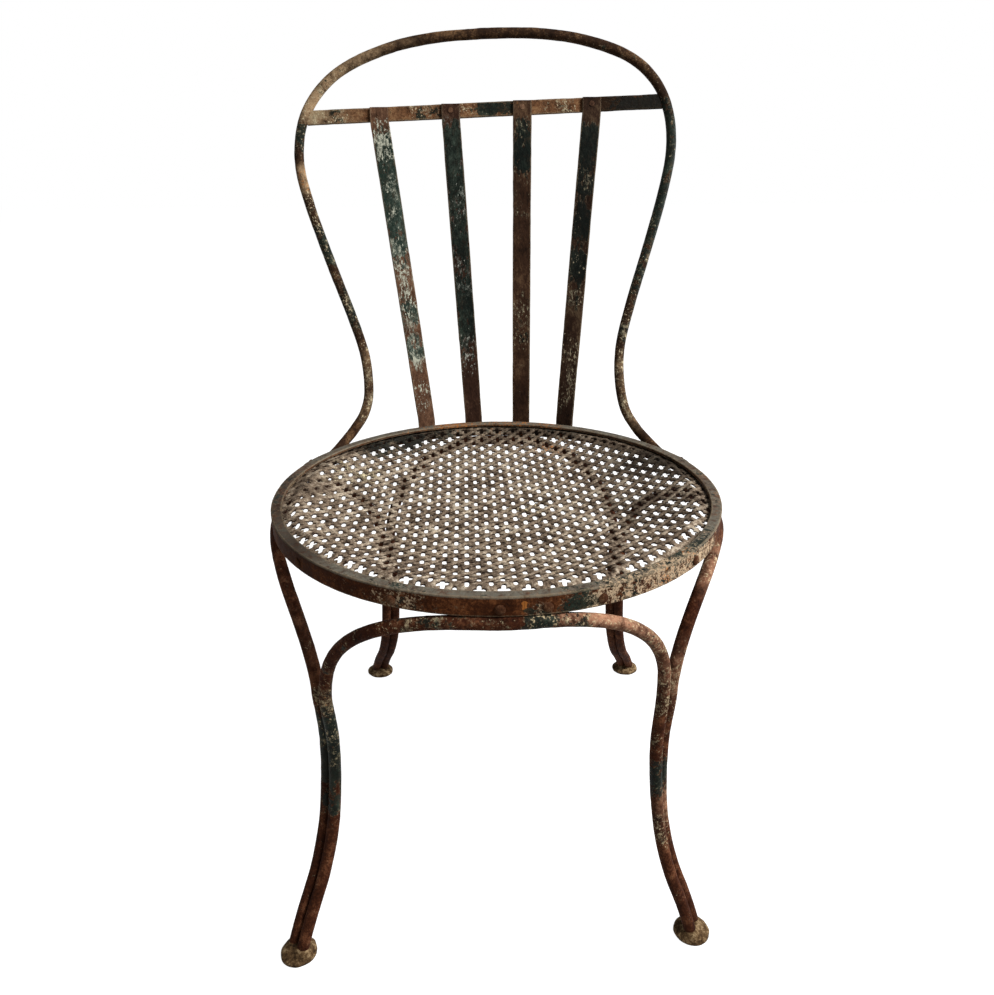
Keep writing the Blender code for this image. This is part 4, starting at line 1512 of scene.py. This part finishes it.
    def build_hoop(self, workshop: Workshop) -> None:
        """Carry the rod's section over the hoop.

        Args:
            workshop: Where the piece is made.
        """
        path = np.concatenate([self.side(-1), self.side(1)[-2::-1]])
        path = evenly(self.leaned(path))
        shell = swept(path, outward_in_plan(path), Section.round(ROD_RADIUS - self.skin_room),
                      Relief(waves=0.00022, lumps=0.00014, seed=51),
                      round_ends(path, ROD_RADIUS * self.end_rounding))
        workshop.place("back_hoop_worn", shell, Finish.HOOP, Slot.HOOP, self.hoop_coat,
                       ["back_hoop"])

    def build_rail(self, workshop: Workshop) -> None:
        """Carry the rail's flat section from one side of the hoop to the other.

        Args:
            workshop: Where the piece is made.
        """
        ends = np.stack([self.at(sign, self.rail_height)[0] for _, sign in SIDES])
        ends[:, 0] -= np.sign(ends[:, 0]) * ROD_RADIUS * self.rail_stop
        path = evenly(self.leaned(np.linspace(ends[0], ends[1], self.rail_points)))
        sides = np.broadcast_to(self.rising(), path.shape)
        section = flat_bar(self.rail_depth, self.rail_thickness, self.rail_corner)
        shell = swept(path, sides, section, Relief(waves=0.0002, lumps=0.00014, seed=61))
        workshop.place("back_rail_worn", shell, Finish.RAIL, Slot.RAIL, self.rail_coat,
                       ["back_rail"])

    def slat_angle(self, index: int) -> float:
        """Ring angle of a slat's lower end."""
        return pi - asin(self.slat_feet[index] / RING_RADIUS)

    def slat_head(self, index: int) -> Array:
        """Find the middle of a slat's upper end, on the rail's middle line.

        Args:
            index: Which slat, from the left.

        Returns:
            The place.
        """
        setback = self.at(1, self.rail_height)[0, 1]
        place = np.array([self.slat_tops[index], setback, SEAT_HEIGHT + self.rail_height])
        return self.leaned(place)

    def build_slat(self, index: int, coat: Coat, finish: Finish, workshop: Workshop) -> None:
        """Carry a slat's flat section up the band and straight on to the rail's front.

        Its side direction turns from the band's tangent to the rail's own line.

        Args:
            index: Which slat, from the left.
            coat: What covers it.
            finish: What it is dressed in.
            workshop: Where it is made.
        """
        angle = self.slat_angle(index)
        radius = RING_RADIUS + CLEARANCE + self.slat_thickness / 2
        stack = self.rail_thickness / 2 + CLEARANCE + self.slat_thickness / 2
        on_rail = self.slat_head(index) + self.facing() * stack
        rising = self.rising() * self.rail_depth / 2
        lower = [ring_points(angle, radius, SEAT_HEIGHT + z) for z in
                 (-self.slat_foot_drop, -self.slat_foot_drop / 2, self.slat_leaves_band)]
        knots = np.stack([*lower, on_rail - rising, on_rail + rising * self.slat_top_share])
        tangent = ring_points(angle - pi / 2, 1.0, 0.0)
        across = np.array([1.0, 0.0, sin(self.lean)])
        turn = np.array([0.0, 0.0, 0.0, 1.0, 1.0])[:, None]
        path = evenly(np.concatenate([knots, tangent * (1 - turn) + across * turn], axis=1))
        middle = path[:, :3].copy()
        for _ in range(self.slat_smoothings):
            middle[1:-1] = (middle[:-2] + middle[1:-1] + middle[2:]) / 3
        section = flat_bar(self.slat_width, self.slat_thickness, self.slat_corner)
        relief = Relief(waves=0.00026, wave_size=0.03, lumps=0.00016, seed=71 + index)
        shell = swept(middle, path[:, 3:], section, relief)
        name = f"back_slat_{index + 1}"
        workshop.place(f"{name}_worn", shell, finish, Slot.SLAT, coat, [name])

    def build(self, workshop: Workshop) -> None:
        """Build the hoop, the rail and the slats.

        Args:
            workshop: Where the pieces are made.
        """
        self.build_hoop(workshop)
        self.build_rail(workshop)
        finishes = (Finish.FIRST_SLAT, Finish.SECOND_SLAT, Finish.THIRD_SLAT, Finish.FOURTH_SLAT)
        for index, (coat, finish) in enumerate(zip(slat_coats(), finishes)):
            self.build_slat(index, coat, finish, workshop)


# Lowest and highest place of each slat's middle line, for its stains
SLAT_LINES: tuple[tuple[Point, Point], ...] = (
    ((-0.0820, 0.170, 0.413), (-0.1266, 0.230, 0.766)),
    ((-0.0248, 0.170, 0.413), (-0.0452, 0.230, 0.766)),
    ((0.0344, 0.170, 0.413), (0.0361, 0.230, 0.766)),
    ((0.0874, 0.170, 0.413), (0.1148, 0.230, 0.766)),
)


def slat_line(index: int, height: float) -> Point:
    """Find the place on a slat's middle line at a height.

    Args:
        index: Which slat, from the left.
        height: Height above the floor.

    Returns:
        The place.
    """
    low, high = SLAT_LINES[index]
    share = (height - low[2]) / (high[2] - low[2])
    return (low[0] + (high[0] - low[0]) * share, low[1] + (high[1] - low[1]) * share, height)


def slat_stains(index: int, rows: Sequence[tuple[float, ...]]) -> tuple[Stain, ...]:
    """Lay stains along one slat.

    Args:
        index: Which slat, from the left.
        rows: Height, reach, and amounts of paint, pale scale, ochre, and grime that in
        places is painted shade. The last amounts are left out where they are nothing.

    Returns:
        The stains.
    """
    names = ("paint", "pale", "warm", "grime")
    return tuple(Stain(slat_line(index, height), reach, **dict(zip(names, amounts)))
                 for height, reach, *amounts in rows)


def slat_coats() -> tuple[Coat, Coat, Coat, Coat]:
    """Coat the four slats.

    Returns:
        What covers each, from the left.
    """
    first = slat_stains(0, [
        (0.760, 0.016, -0.20, 0.06, 0.30), (0.741, 0.020, 0.30, 0.50),
        (0.724, 0.018, 0.42, 0.32), (0.700, 0.030, 0.52, 0.22), (0.668, 0.030, 0.54, 0.20),
        (0.638, 0.030, 0.50, 0.18), (0.608, 0.024, 0.34, 0.27, 0.05),
        (0.582, 0.022, 0.10, 0.30, 0.10), (0.556, 0.018, 0.34, 0.36),
        (0.536, 0.022, 0.40, 0.28), (0.504, 0.022, 0.50, 0.34), (0.484, 0.016, 0.16, 0.30),
        (0.450, 0.026, 0.06, 0.32, 0.05), (0.424, 0.016, 0.0, 0.20, 0.05)])
    second = slat_stains(1, [
        (0.762, 0.012, -0.10, 0.04, 0.20), (0.735, 0.028, 0.60, 0.10, 0.0, 0.10),
        (0.700, 0.030, 0.56, 0.15), (0.662, 0.030, 0.52, 0.25), (0.620, 0.032, 0.56, 0.16, 0.0, 0.06),
        (0.598, 0.014, 0.0, 0.28), (0.572, 0.034, 0.60, 0.16), (0.535, 0.030, 0.60, 0.18),
        (0.505, 0.026, 0.48, 0.34), (0.478, 0.026, 0.40, 0.46),
        (0.433, 0.022, -0.14, -0.14, 0.0, 0.10)])
    third = slat_stains(2, [
        (0.768, 0.016, -0.15, 0.06, 0.22), (0.746, 0.016, 0.44, 0.20),
        (0.716, 0.028, 0.66, 0.06, 0.0, 0.10), (0.676, 0.022, 0.18, 0.12, 0.06),
        (0.652, 0.014, 0.14, 0.26), (0.610, 0.044, 0.0, 0.04, 0.0, 0.12),
        (0.545, 0.030, 0.30, 0.28), (0.510, 0.024, 0.34, 0.34), (0.478, 0.018, 0.40, 0.28),
        (0.440, 0.024, 0.06, 0.20)])
    fourth = slat_stains(3, [
        (0.762, 0.020, -0.12, -0.04, 0.05, 0.06), (0.728, 0.032, 0.62, 0.06, 0.0, 0.10),
        (0.684, 0.030, 0.46, 0.20), (0.640, 0.030, 0.56, 0.14, 0.0, 0.16),
        (0.595, 0.030, 0.60, 0.22), (0.558, 0.016, 0.34, 0.40),
        (0.535, 0.020, -0.06, -0.04, 0.0, 0.16), (0.495, 0.030, 0.20, 0.34),
        (0.450, 0.034, 0.22, 0.34)])
    return (Coat(paint=0.16, pale=0.14, stains=first, most_pale=0.50),
            Coat(paint=0.12, pale=0.12, stains=second, most_pale=0.50),
            Coat(paint=0.14, pale=0.17, stains=third), Coat(paint=0.14, pale=0.15, stains=fourth))


# Legs

@dataclass(frozen=True)
class Leg:
    """Where a pair of rods comes down: its ring angle, and its foot from the ring's centre."""

    angle: float
    foot: tuple[float, float]


@dataclass
class LegArches:
    """Four rods, each bent under a quarter of the ring and down as one rod of two legs."""

    crown_half: float = 0.0240
    crown_inset: float = 0.0004
    corner_height: float = 0.1180
    tight_corner_height: float = 0.0930
    turn_share: float = 0.5
    top_radius: float = 0.2195
    foot_height: float = 0.0080
    touch: float = 0.0001
    skin_room: float = 0.00012
    curve: tuple[tuple[float, float], ...] = (
        (0.00, 0.00), (0.18, -0.05), (0.38, 0.01), (0.57, 0.16), (0.74, 0.43), (0.88, 0.76),
        (1.00, 1.00))
    legs: dict[str, Leg] = field(default_factory=lambda: {
        "front_left": Leg(radians(-46.0), (-0.1950, -0.2000)),
        "front_right": Leg(radians(43.0), (0.1910, -0.1800)),
        "rear_left": Leg(radians(-140.3), (-0.1770, 0.2630)),
        "rear_right": Leg(radians(136.0), (0.1920, 0.2660)),
    })
    # The dust of this coat, all over and on the arch crowns and outer rods, is partly a painted
    # highlight on their lit tops and sides
    coat: Coat = Coat(paint=0.16, pale=0.24, warm=0.08, dust=0.06, stains=(
        Stain((-0.149, -0.190, 0.220), 0.052, paint=0.60, pale=0.18),
        Stain((-0.143, -0.193, 0.270), 0.024, paint=0.20, pale=0.42, warm=0.26),
        Stain((-0.147, -0.205, 0.300), 0.030, paint=0.24, pale=0.10),
        Stain((-0.152, -0.193, 0.165), 0.040, paint=0.46, pale=0.06),
        Stain((-0.185, -0.155, 0.310), 0.080, pale=0.06, dust=0.14),
        Stain((-0.166, -0.178, 0.180), 0.050, paint=-0.10, pale=-0.10, grime=0.34),
        Stain((-0.118, -0.216, 0.350), 0.034, paint=0.24, grime=0.16, pale=0.06),
        Stain((-0.088, -0.232, 0.378), 0.022, pale=0.14),
        Stain((-0.062, -0.240, 0.383), 0.022, paint=0.28, pale=0.14),
        Stain((-0.034, -0.246, 0.384), 0.024, paint=0.22, pale=0.12, dust=0.05),
        Stain((0.000, -0.250, 0.386), 0.020, pale=0.10, warm=0.10),
        Stain((0.036, -0.250, 0.385), 0.018, paint=0.52, pale=0.24, grime=0.20),
        Stain((0.070, -0.243, 0.384), 0.036, pale=0.22, warm=0.12, dust=0.45),
        Stain((0.110, -0.230, 0.378), 0.036, pale=0.20, warm=0.16, dust=0.50),
        Stain((0.062, -0.243, 0.375), 0.022, paint=0.40, pale=0.20),
        Stain((0.134, -0.212, 0.345), 0.026, pale=0.20, paint=0.24, dust=0.35, warm=0.10),
        Stain((0.144, -0.205, 0.310), 0.030, pale=0.18, dust=0.20),
        Stain((0.150, -0.200, 0.270), 0.030, pale=0.16, paint=0.08),
        Stain((0.150, -0.200, 0.225), 0.030, pale=0.12, paint=-0.05),
        Stain((0.151, -0.201, 0.185), 0.034, paint=0.46, pale=0.00, grime=0.10),
        Stain((0.158, -0.203, 0.125), 0.024, paint=0.26, pale=0.20),
        Stain((0.178, -0.185, 0.150), 0.045, pale=0.14, warm=0.20, dust=0.40),
        Stain((0.172, -0.175, 0.290), 0.045, pale=0.14, dust=0.34),
        Stain((0.205, -0.140, 0.370), 0.040, pale=0.20, warm=0.10, dust=0.40),
    ))

    def rod_of_leg(self, name: str, side: int) -> Array:
        """Centre line of one rod of a leg, from below the corner to its foot.

        The pair's middle goes from the ring to the foot along the leg's curve of
        place against height. The rod stands one radius beside it, first along the
        ring and lower down square to the leg's own direction.

        Args:
            name: Which leg.
            side: +1 or -1 for the rod's place beside the middle, counted along the ring.

        Returns:
            The line's points.
        """
        leg = self.legs[name]
        top = ring_points(leg.angle, self.top_radius, 0.0)
        bottom = np.array([*leg.foot, 0.0])
        along = ring_points(leg.angle + pi / 2, 1.0, 0.0)
        outward = unit(bottom - top)
        beside_foot = np.array([-outward[1], outward[0], 0.0])
        beside_foot = beside_foot * np.sign(beside_foot @ along)
        share = np.linspace(0.0, 1.0, 14)[:, None]
        fine = curve_through(np.array(self.curve))
        gone = np.interp(share, fine[:, 0], fine[:, 1])
        turn = np.minimum(share / self.turn_share, 1.0)
        beside = unit(along * (1 - turn) + beside_foot * turn)
        line = top + (bottom - top) * gone + beside * side * (ROD_RADIUS - self.touch)
        top_z = self.crown_z() - self.corner_height
        line[:, 2] = top_z + (self.foot_height + CLEARANCE - top_z) * share[:, 0]
        return line

    @staticmethod
    def crown_z() -> float:
        """Height of the centre line where an arch runs under the band."""
        return SEAT_HEIGHT - BAND_HEIGHT - CLEARANCE - ROD_RADIUS

    def half(self, middle: float, name: str, corner: float) -> Array:
        """Half of an arch, from its crown's middle round the corner and down a leg.

        Round the corner the turn grows with the sine of the bend and the drop with
        one less its cosine, so the rod leaves level and ends upright.

        Args:
            middle: Ring angle of the crown's middle.
            name: The leg it goes down.
            corner: Height of the corner.

        Returns:
            The half's points.
        """
        difference = (self.legs[name].angle - middle + pi) % (2 * pi) - pi
        side = 1 if difference > 0 else -1
        down = self.rod_of_leg(name, -side)
        leg_turn = abs((atan2(down[0, 0], -down[0, 1]) - middle + pi) % (2 * pi) - pi)
        leg_radius = hypot(down[0, 0], down[0, 1])
        radius = RING_RADIUS - BAND_THICKNESS / 2 - self.crown_inset
        crown_turn = self.crown_half / radius
        level = ring_points(middle + side * crown_turn * np.arange(3) / 3, radius, self.crown_z())
        bend = pi / 2 * np.arange(10) / 10
        turn = crown_turn + (leg_turn - crown_turn) * np.sin(bend)
        reach = radius + (leg_radius - radius) * (1 - np.cos(bend))
        drop = corner * (1 - np.cos(bend))
        bent = ring_points(middle + side * turn, reach, self.crown_z() - drop)
        parts = [level, bent]
        if corner < self.corner_height:
            parts.append(np.array([[down[0, 0], down[0, 1], self.crown_z() - corner]]))
        return np.concatenate([*parts, down])

    def build(self, workshop: Workshop) -> None:
        """Carry the rod's section along each arch.

        Args:
            workshop: Where the pieces are made.
        """
        tall, tight = self.corner_height, self.tight_corner_height
        arches = (
            ("front_arch", "front_left", "front_right", radians(2.2), tall, tight),
            ("right_arch", "front_right", "rear_right", radians(81.0), tall, tall),
            ("rear_arch", "rear_right", "rear_left", radians(178.0), tall, tall),
            ("left_arch", "rear_left", "front_left", radians(-93.0), tall, tall),
        )
        section = Section.round(ROD_RADIUS - self.skin_room)
        for seed, (name, low, high, middle, low_corner, high_corner) in enumerate(arches, 81):
            first = self.half(middle, low, low_corner)
            second = self.half(middle, high, high_corner)
            path = evenly(curve_through(np.concatenate([first[::-1], second[1:]])))
            relief = Relief(waves=0.00022, lumps=0.00014, seed=seed)
            shell = swept(path, outward_in_plan(path), section, relief)
            workshop.place(f"{name}_worn", shell, Finish.LEG, Slot.LEG, self.coat, [name])


@dataclass
class Feet:
    """Forged round pads, their tops drawn up round the two rods that stand on them."""

    radius: float = 0.0172
    widening: tuple[float, float] = (0.05, 0.11)
    shrinking: float = 0.06
    fillet: float = 0.0060
    fillet_reach: float = 1.35
    segments: int = 72
    top_rows: int = 10
    coat: Coat = Coat(paint=0.10, pale=0.24, warm=0.12)

    def profile(self) -> Array:
        """Pad's profile as (share of the radius, height), from its top's middle to its base."""
        return np.array([
            (0.05, 0.0080), (0.15, 0.0080), (0.25, 0.0079), (0.35, 0.0078), (0.45, 0.0077),
            (0.55, 0.0075), (0.65, 0.0072), (0.74, 0.0068), (0.82, 0.0062), (0.89, 0.0054),
            (0.95, 0.0044), (0.985, 0.0033), (0.99, 0.0022), (0.97, 0.0011), (0.93, 0.0003),
            (0.86, 0.0), (0.60, 0.0), (0.30, 0.0), (0.05, 0.0)])

    def shell(self, foot: Array, rods: Array, widening: float, seed: int) -> Surface:
        """One pad.

        Each row of the profile is turned about the foot's middle. The outline is a
        little wider across than along, it swells and shrinks round the pad, and the
        top rises round each rod by a bell curve of the distance to it.

        Args:
            foot: The foot's middle.
            rods: Where the rods' centre lines meet the pad.
            widening: How much wider it is across than along, as a share.
            seed: Which unevenness it has.

        Returns:
            The closed shell.
        """
        share, height = self.profile().T
        turn = 2 * pi * np.arange(self.segments) / self.segments
        spoke = np.stack([np.cos(turn), np.sin(turn), np.zeros(self.segments)], axis=1)
        uneven = (1.0 + widening * np.cos(turn)**2
                  - self.shrinking * np.abs(value_noise(spoke * 1.6, 1.0, seed)))
        grid = foot + spoke * uneven[:, None] * (share * self.radius)[:, None, None]
        grid = grid + UP * height[:, None, None]
        distance = np.linalg.norm(grid[:, :, None, :2] - rods[:, :2], axis=3)
        near = np.exp(-(distance / (ROD_RADIUS * self.fillet_reach))**4).max(axis=2)
        upper = (np.arange(len(share)) < self.top_rows)[:, None]
        grid[..., 2] += self.fillet * near * upper
        relief = Relief(waves=0.0003, wave_size=0.012, lumps=0.00035, lump_size=0.005,
                        grain=0.00015, grain_size=0.0025, seed=seed)
        rise = relief.at(grid) * (height > 0.0002)[:, None]
        grid[..., 2] += np.where(upper, rise, 0.0)
        grid = grid + spoke * (rise * (1 - upper))[..., None]
        grid[..., 2] = np.maximum(grid[..., 2], 0.0)
        return skin(grid)

    def build(self, arches: LegArches, workshop: Workshop) -> None:
        """Build a pad under each pair of rods.

        Args:
            arches: The rods that stand on the pads.
            workshop: Where the pieces are made.
        """
        for seed, (name, leg) in enumerate(arches.legs.items(), 91):
            rods = np.stack([arches.rod_of_leg(name, side)[-1] for _, side in SIDES])
            widening = self.widening[int(leg.foot[1] > 0)]
            shell = self.shell(np.array([*leg.foot, 0.0]), rods, widening, seed)
            workshop.place(f"foot_{name}_forged", shell, Finish.FOOT, Slot.FOOT, self.coat,
                           [f"foot_{name}"], sharp=70.0)


# Rivets

@dataclass(frozen=True)
class Rivet:
    """One rivet: its name, the place its head sits on, the way it looks and its grip."""

    name: str
    place: Array
    axis: Array
    grip: float


@dataclass
class Rivets:
    """Domed rivets of the band, the splice, the hoop's ends and the slats."""

    head_radius: float = 0.0044
    head_height: float = 0.0022
    flush_radius: float = 0.0030
    flush_height: float = 0.0002
    shank_radius: float = 0.0020
    tail_radius: float = 0.0034
    tail_height: float = 0.0012
    seat_angles: tuple[int, ...] = (22, 50, 90, 140)
    splice_half: float = 0.0184
    sheet_inside: float = 0.2141
    splice_inside: float = 0.2108
    dome_rings: int = 9
    dome_start: float = 0.12
    coat: Coat = Coat(paint=0.10, pale=0.16, grime=0.25)

    def profile(self, grip: float, flush: bool) -> Array:
        """Rivet's profile as (radius, height): a dome, the shank and a flat tail.

        Args:
            grip: How much the rivet holds together.
            flush: Whether its head is hammered nearly flat.

        Returns:
            The profile's points, from the middle of the head to that of the tail.
        """
        radius = self.flush_radius if flush else self.head_radius
        rise = self.flush_height if flush else self.head_height
        bend = np.linspace(self.dome_start, pi / 2, self.dome_rings)
        dome = np.stack([radius * np.sin(bend), CLEARANCE + rise * np.cos(bend)], axis=1)
        under = -grip - CLEARANCE
        rest = np.array([
            (radius * 0.97, CLEARANCE * 0.4), (self.shank_radius, CLEARANCE * 0.4),
            (self.shank_radius, under), (self.tail_radius, under),
            (self.tail_radius, under - self.tail_height * 0.6),
            (self.tail_radius * 0.8, under - self.tail_height), (0.0004, under - self.tail_height)])
        return np.concatenate([dome, rest])

    def on_ring(self, name: str, angle: float, outer: float, inner: float) -> Rivet:
        """Set a rivet square to the band.

        Args:
            name: Its name.
            angle: Its ring angle.
            outer: Radius that its head sits on.
            inner: Radius that its tail sits on.

        Returns:
            The rivet.
        """
        place = ring_points(angle, outer, SEAT_HEIGHT - RIVET_DROP)
        return Rivet(name, place, ring_points(angle, 1.0, 0.0), outer - inner)

    def plan(self, back: Back) -> list[Rivet]:
        """Set out every rivet of the chair.

        Args:
            back: The back that some of them hold.

        Returns:
            The rivets of the sheet, the splice, the hoop, and the slats' lower and upper ends.
        """
        half = self.splice_half / RING_RADIUS
        hoop = pi - (back.end_angle + back.lift_angle) / 2
        rod_face = RING_RADIUS + CLEARANCE + 2 * ROD_RADIUS
        slat_face = RING_RADIUS + CLEARANCE + back.slat_thickness
        stack = back.rail_thickness / 2 + CLEARANCE + back.slat_thickness
        slats = range(len(back.slat_feet))
        return [
            *(self.on_ring(f"seat_rivet_{side}_{degrees}", sign * radians(degrees), RING_RADIUS,
                           self.sheet_inside) for degrees in self.seat_angles
              for side, sign in SIDES),
            *(self.on_ring(f"splice_rivet_{side}", BUTT_ANGLE + sign * half, RING_RADIUS,
                           self.splice_inside) for side, sign in SIDES),
            *(self.on_ring(f"hoop_rivet_{side}", sign * hoop, rod_face, self.sheet_inside)
              for side, sign in SIDES),
            *(self.on_ring(f"slat_foot_rivet_{index + 1}", back.slat_angle(index), slat_face,
                           self.sheet_inside) for index in slats),
            *(Rivet(f"slat_head_rivet_{index + 1}", back.slat_head(index) + back.facing() * stack,
                    back.facing(), stack + back.rail_thickness / 2) for index in slats)]

    def build(self, back: Back, workshop: Workshop) -> None:
        """Turn each rivet about its own axis. The slats' upper ones are flush.

        Args:
            back: The back that some of them hold.
            workshop: Where the pieces are made.
        """
        for seed, rivet in enumerate(self.plan(back), 100):
            relief = Relief(waves=0.0001, wave_size=0.006, lumps=0.0001, lump_size=0.002,
                            grain=0.0, seed=seed)
            flush = rivet.name.startswith("slat_head")
            finish = Finish.FIRST_SLAT if flush else Finish.RIVET
            shell = turned(self.profile(rivet.grip, flush), rivet.place, rivet.axis, relief)
            workshop.place(f"{rivet.name}_domed", shell, finish, Slot.RIVET, self.coat,
                           [rivet.name])


# Studio

@dataclass(frozen=True)
class Lamp:
    """A square soft lamp: its name, place, power in watts and side in metres."""

    name: str
    place: Point
    power: float
    size: float


@dataclass
class Studio:
    """A white floor and surround, a soft key from the upper right, a fill and a side lamp."""

    lamps: tuple[Lamp, ...] = (
        Lamp("key", (1.70, -1.05, 2.40), 118.0, 0.8),
        Lamp("fill", (-2.0, -2.2, 1.3), 12.0, 2.2),
        Lamp("side", (2.20, 0.70, 1.00), 46.0, 0.9),
    )
    target: Point = (0.0, 0.0, 0.42)
    world_light: float = 0.11
    floor_reach: float = 14.0
    floor_grey: float = 0.30
    floor_faint: float = 0.25
    floor_glow: float = 0.975

    def seen(self, graph: Graph) -> Socket:
        """Tell the rays that see the white floor and surround from those that light the chair.

        Args:
            graph: The graph that needs to know.

        Returns:
            1 for rays that come from the eye or through gloss or glass, else 0.
        """
        path = graph.add("ShaderNodeLightPath", {}, {})
        camera, glossy, glass = (Socket(graph, path.outputs[f"Is {kind} Ray"])
                                 for kind in ("Camera", "Glossy", "Transmission"))
        return graph.node("ShaderNodeMath", {"operation": "MINIMUM"},
                          {0: camera + glossy + glass, 1: 1.0})

    def build_world(self) -> None:
        """A surround that looks white and lights the chair weakly."""
        world = bpy.data.worlds.new("surround")
        bpy.context.scene.world = world
        graph = Graph(world)
        strength = self.world_light + self.seen(graph) * (1.0 - self.world_light)
        background = graph.node("ShaderNodeBackground", {},
                                {"Color": (1.0, 1.0, 1.0, 1.0), "Strength": strength})
        graph.add("ShaderNodeOutputWorld", {}, {"Surface": background})

    def build_floor(self) -> None:
        """A white floor that keeps a faint shadow."""
        reach = self.floor_reach
        mesh = bpy.data.meshes.new("floor")
        mesh.from_pydata([(-reach, -reach, 0.0), (reach, -reach, 0.0), (reach, reach, 0.0),
                          (-reach, reach, 0.0)], [], [(0, 1, 2, 3)])
        material = bpy.data.materials.new("floor_white")
        graph = Graph(material)
        matt, faint = (graph.node("ShaderNodeBsdfDiffuse", {}, {"Color": (grey, grey, grey, 1.0)})
                       for grey in (self.floor_grey, self.floor_faint))
        glow = graph.node("ShaderNodeEmission", {}, {"Color": (1.0, 1.0, 1.0, 1.0),
                                                     "Strength": self.floor_glow})
        white = graph.node("ShaderNodeAddShader", {}, {0: faint, 1: glow})
        surface = graph.node("ShaderNodeMixShader", {}, {0: self.seen(graph), 1: matt, 2: white})
        graph.add("ShaderNodeOutputMaterial", {}, {"Surface": surface})
        mesh.materials.append(material)
        floor = bpy.data.objects.new("floor", mesh)
        bpy.context.scene.collection.objects.link(floor)

    def build_lamp(self, lamp: Lamp) -> None:
        """Hang a lamp that looks at the chair.

        Args:
            lamp: Which lamp.
        """
        light = bpy.data.lights.new(lamp.name, "AREA")
        light.energy = lamp.power
        light.size = lamp.size
        holder = bpy.data.objects.new(lamp.name, light)
        holder.location = lamp.place
        aim = Vector(self.target) - Vector(lamp.place)
        holder.rotation_euler = aim.to_track_quat("-Z", "Y").to_euler()
        bpy.context.scene.collection.objects.link(holder)

    def build(self) -> None:
        """Build the surround, the floor and the lamps."""
        self.build_world()
        self.build_floor()
        for lamp in self.lamps:
            self.build_lamp(lamp)
        bpy.context.scene.view_settings.view_transform = "Standard"


@dataclass
class Viewpoint:
    """The photograph's camera: place, tilt and focal length for a 994-pixel-wide image."""

    place: Point = (0.00386, -0.77005, 0.70816)
    pitch: float = 0.3996
    roll: float = 0.0071
    focal_pixels: float = 793.85
    image_width: int = 994
    sensor_width: float = 36.0

    def build(self) -> None:
        """Put the camera in its place: level, tilted down, then rolled."""
        camera = bpy.data.cameras.new("camera")
        camera.sensor_fit = "HORIZONTAL"
        camera.sensor_width = self.sensor_width
        camera.lens = self.focal_pixels / self.image_width * self.sensor_width
        forward = Vector((0.0, cos(self.pitch), -sin(self.pitch)))
        up = Vector((0.0, sin(self.pitch), cos(self.pitch)))
        right = Vector((1.0, 0.0, 0.0))
        across = right * cos(self.roll) - up * sin(self.roll)
        upward = right * sin(self.roll) + up * cos(self.roll)
        matrix = Matrix((across, upward, -forward)).transposed().to_4x4()
        matrix.translation = Vector(self.place)
        holder = bpy.data.objects.new("camera", camera)
        bpy.context.scene.collection.objects.link(holder)
        holder.matrix_world = matrix
        bpy.context.scene.camera = holder


def main() -> None:
    """Build the camera, the chair and the studio."""
    logging.basicConfig(level=logging.INFO, format="%(name)s: %(message)s")
    Viewpoint().build()
    workshop = Workshop()
    back, arches = Back(), LegArches()
    SeatRing().build(workshop)
    SplicePlate().build(workshop)
    SeatSheet().build(workshop)
    back.build(workshop)
    arches.build(workshop)
    Feet().build(arches, workshop)
    Rivets().build(back, workshop)
    Studio().build()
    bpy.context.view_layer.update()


if __name__ == "__main__":
    main()
